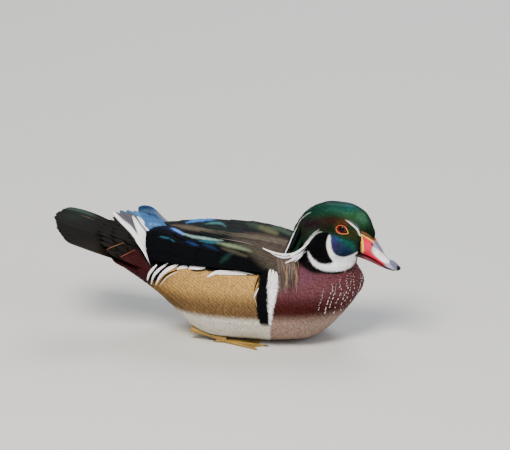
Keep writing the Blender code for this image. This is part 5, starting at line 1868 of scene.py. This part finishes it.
def eyeMaterial():
    material, tree = startMaterial("glassEye")  # a wet cornea over a dark red iris, so a sharp highlight
    far = addNode(tree, "ShaderNodeAttribute", attribute_name="fromMiddle")
    share = addNode(tree, "ShaderNodeMapRange", {"From Max": eye["radius"]}, {"Value": far.outputs["Fac"]})
    streaks = addPattern(tree, "ShaderNodeTexNoise", {"Scale": eye["streaks"], "Detail": 2.0})
    wobble = addNode(
        tree, "ShaderNodeMath", {"operation": "MULTIPLY_ADD", 1: 0.05},
        {0: streaks.outputs["Fac"], 2: share.outputs["Result"]},
    )
    ramp = addNode(tree, "ShaderNodeValToRGB", None, {"Fac": wobble.outputs["Value"]})
    stops = ramp.color_ramp.elements
    pupil = eye["pupil"] / eye["radius"]
    stops[0].position = pupil
    stops[0].color = (*hexColour("050305"), 1)
    stops[1].position = pupil + 0.05
    stops[1].color = (*hexColour("480b08"), 1)
    for position, code in eye["iris"]:
        stops.new(position).color = (*hexColour(code), 1)
    return setShader(
        material, {"Roughness": 0.25, "Specular IOR Level": 0.08, "Coat Weight": 0.2, "Coat Roughness": 0.02},
        {"Base Color": ramp.outputs["Color"]},
    )


glassEye = eyeMaterial()


def makeEye(side, word):
    shape = bmesh.new()
    bmesh.ops.create_uvsphere(shape, u_segments=40, v_segments=24, radius=eye["radius"])
    bmesh.ops.rotate(shape, verts=shape.verts, matrix=Matrix.Rotation(math.pi / 2, 3, "X"))
    far = shape.verts.layers.float.new("fromMiddle")
    for vert in shape.verts:
        outward = vert.co.y * side > 0
        away = math.hypot(vert.co.x - eye["pupilAt"][0], vert.co.z - eye["pupilAt"][1])
        vert[far] = away if outward else eye["radius"]
        if outward:
            vert.co.y += side * eye["corneaRise"] * max(0.0, 1 - (away / eye["corneaRadius"]) ** 2)
    bmesh.ops.rotate(shape, verts=shape.verts, matrix=Matrix.Rotation(head["turn"], 3, "Z"))
    bmesh.ops.translate(shape, verts=shape.verts, vec=headPlace(0, side * eye["side"], 0))
    mesh = finishShape(shape, bpy.data.meshes.new("eye" + word))
    linkPiece("eye" + word, mesh, glassEye, "eye_" + word.lower(), slot="eye_glass")


lid = {
    # outline as (forward, up) from the eye's middle, in mm, pointed low at the front
    "outline": [(6.3, -3.5), (5.2, 0), (3, 3), (-0.6, 4.3), (-4.2, 3.5), (-6.3, 0.8), (-5.9, -2.4),
                (-3.2, -4.5), (0.6, -4.9), (4, -4.4)],
    "middle": (0.3, -0.3),
    "samples": 48,
    "thickness": 0.37 * mm,
    "turns": 10,
    "stand": 17.0 * mm,  # out from the middle of the head
    "slant": 0.14,
    # the skin from the feathers in to the eye: share of the outline, and how far out it stands, in mm
    "skinRows": ((1.15, -1.8), (1.06, -0.6), (1, 0), (0.93, -0.1), (0.86, -0.7), (0.78, -1.6)),
    # colours behind, in front and above
    "rimCodes": ("d5782c", "e9ae46", "9c2c1a"),
    "skinCodes": ("8e2013", "a3310f", "3a0c08"),
    "wrinkles": 1500.0,  # 0.7 mm wide
}


def lidMaterial():
    material, tree = startMaterial("eyeRimSkin")  # bare fleshy skin, orange to yellow, finely wrinkled
    colour = addNode(tree, "ShaderNodeAttribute", attribute_name="plumage")
    grain = addPattern(tree, "ShaderNodeTexNoise", {"Scale": lid["wrinkles"], "Detail": 2.0})
    bump = addNode(tree, "ShaderNodeBump", {"Strength": 0.4, "Distance": 0.1 * mm}, {"Height": grain.outputs["Fac"]})
    return setShader(
        material, {"Roughness": 0.45}, {"Base Color": colour.outputs["Color"], "Normal": bump.outputs["Normal"]}
    )


eyeRimSkin = lidMaterial()


def makeLid(side, word):
    line = curveThrough(lid["outline"], lid["samples"], closed=True) * mm
    ring = [(forward, side * (lid["stand"] - lid["slant"] * forward), up) for forward, up in line]
    ring.append(ring[0])
    middle = np.array(lid["middle"]) * mm
    rim, inner = [], []
    for k in range(lid["turns"] + 1):
        turn = math.tau * k / lid["turns"]
        row = []
        for forward, level, up in ring:
            out = np.array((forward, up)) - middle
            out /= np.linalg.norm(out)
            wide = lid["thickness"] * math.cos(turn)
            row.append(headPlace(
                forward + out[0] * wide, level + side * lid["thickness"] * 1.1 * math.sin(turn), up + out[1] * wide
            ))
        rim.append(row)
    for share, stand in lid["skinRows"]:
        row = []
        for forward, level, up in ring:
            spotHere = middle + (np.array((forward, up)) - middle) * share
            row.append(headPlace(spotHere[0], level + side * stand * mm, spotHere[1]))
        inner.append(row)
    for name, rows, codes in (("lidRim", rim, lid["rimCodes"]), ("lidSkin", inner, lid["skinCodes"])):
        points = gridArray([rows])
        mesh = gridsToMesh(name + word, points, *cells(1))
        flat = points.reshape(-1, 3)
        local = headLocal(flat) / mm
        colours = plainColours(flat, codes[0])
        paint(colours, smoothStep(2.0, 6.0, local[:, 0]), codes[1])
        paint(colours, smoothStep(1.0, 4.5, local[:, 2]) * 0.6, codes[2])
        setColours(mesh, colours, np.zeros(len(flat)))
        linkPiece(name + word, mesh, eyeRimSkin, slot="head_feathers")


for side, word in sides:
    makeEye(side, word)
    makeLid(side, word)
print("head finished")


foot = {
    "scales": 700.0,  # 1.4 mm wide
    "scaleDepth": 0.25 * mm,
    "voxel": 0.55 * mm,
    "webLevels": (2.2 * mm, 1.2 * mm),
    "clawStarts": (21 * mm, 26 * mm),
}


def footColours(points):
    colours = plainColours(points, "b08a3a")
    paint(colours, smoothStep(*foot["webLevels"], points[:, 2]) * 0.5, "6d5a34")
    paint(colours, smoothStep(*foot["clawStarts"], points[:, 0]), "15120f")
    return colours


def footMaterial():
    material, tree = startMaterial("scaledFootSkin")  # dry leathery skin in small scales, faintly waxy
    scales = addPattern(tree, "ShaderNodeTexVoronoi", {"Scale": foot["scales"]})
    shade = addNode(
        tree, "ShaderNodeMapRange", {"From Max": 0.8, "To Min": 1.10, "To Max": 0.60},
        {"Value": scales.outputs["Distance"]},
    )
    bump = addNode(
        tree, "ShaderNodeBump", {"Strength": 0.5, "Distance": foot["scaleDepth"], "invert": True},
        {"Height": scales.outputs["Distance"]},
    )
    return setShader(
        material, {"Roughness": 0.5},
        {"Base Color": tonedColour(tree, shade.outputs["Result"]), "Normal": bump.outputs["Normal"]},
    )


scaledSkin = footMaterial()
for side, word in sides:
    smoothPiece("foot" + word, "leg_" + word.lower(), foot["voxel"], 3, scaledSkin, footColours, "foot_skin")
print("feet finished")
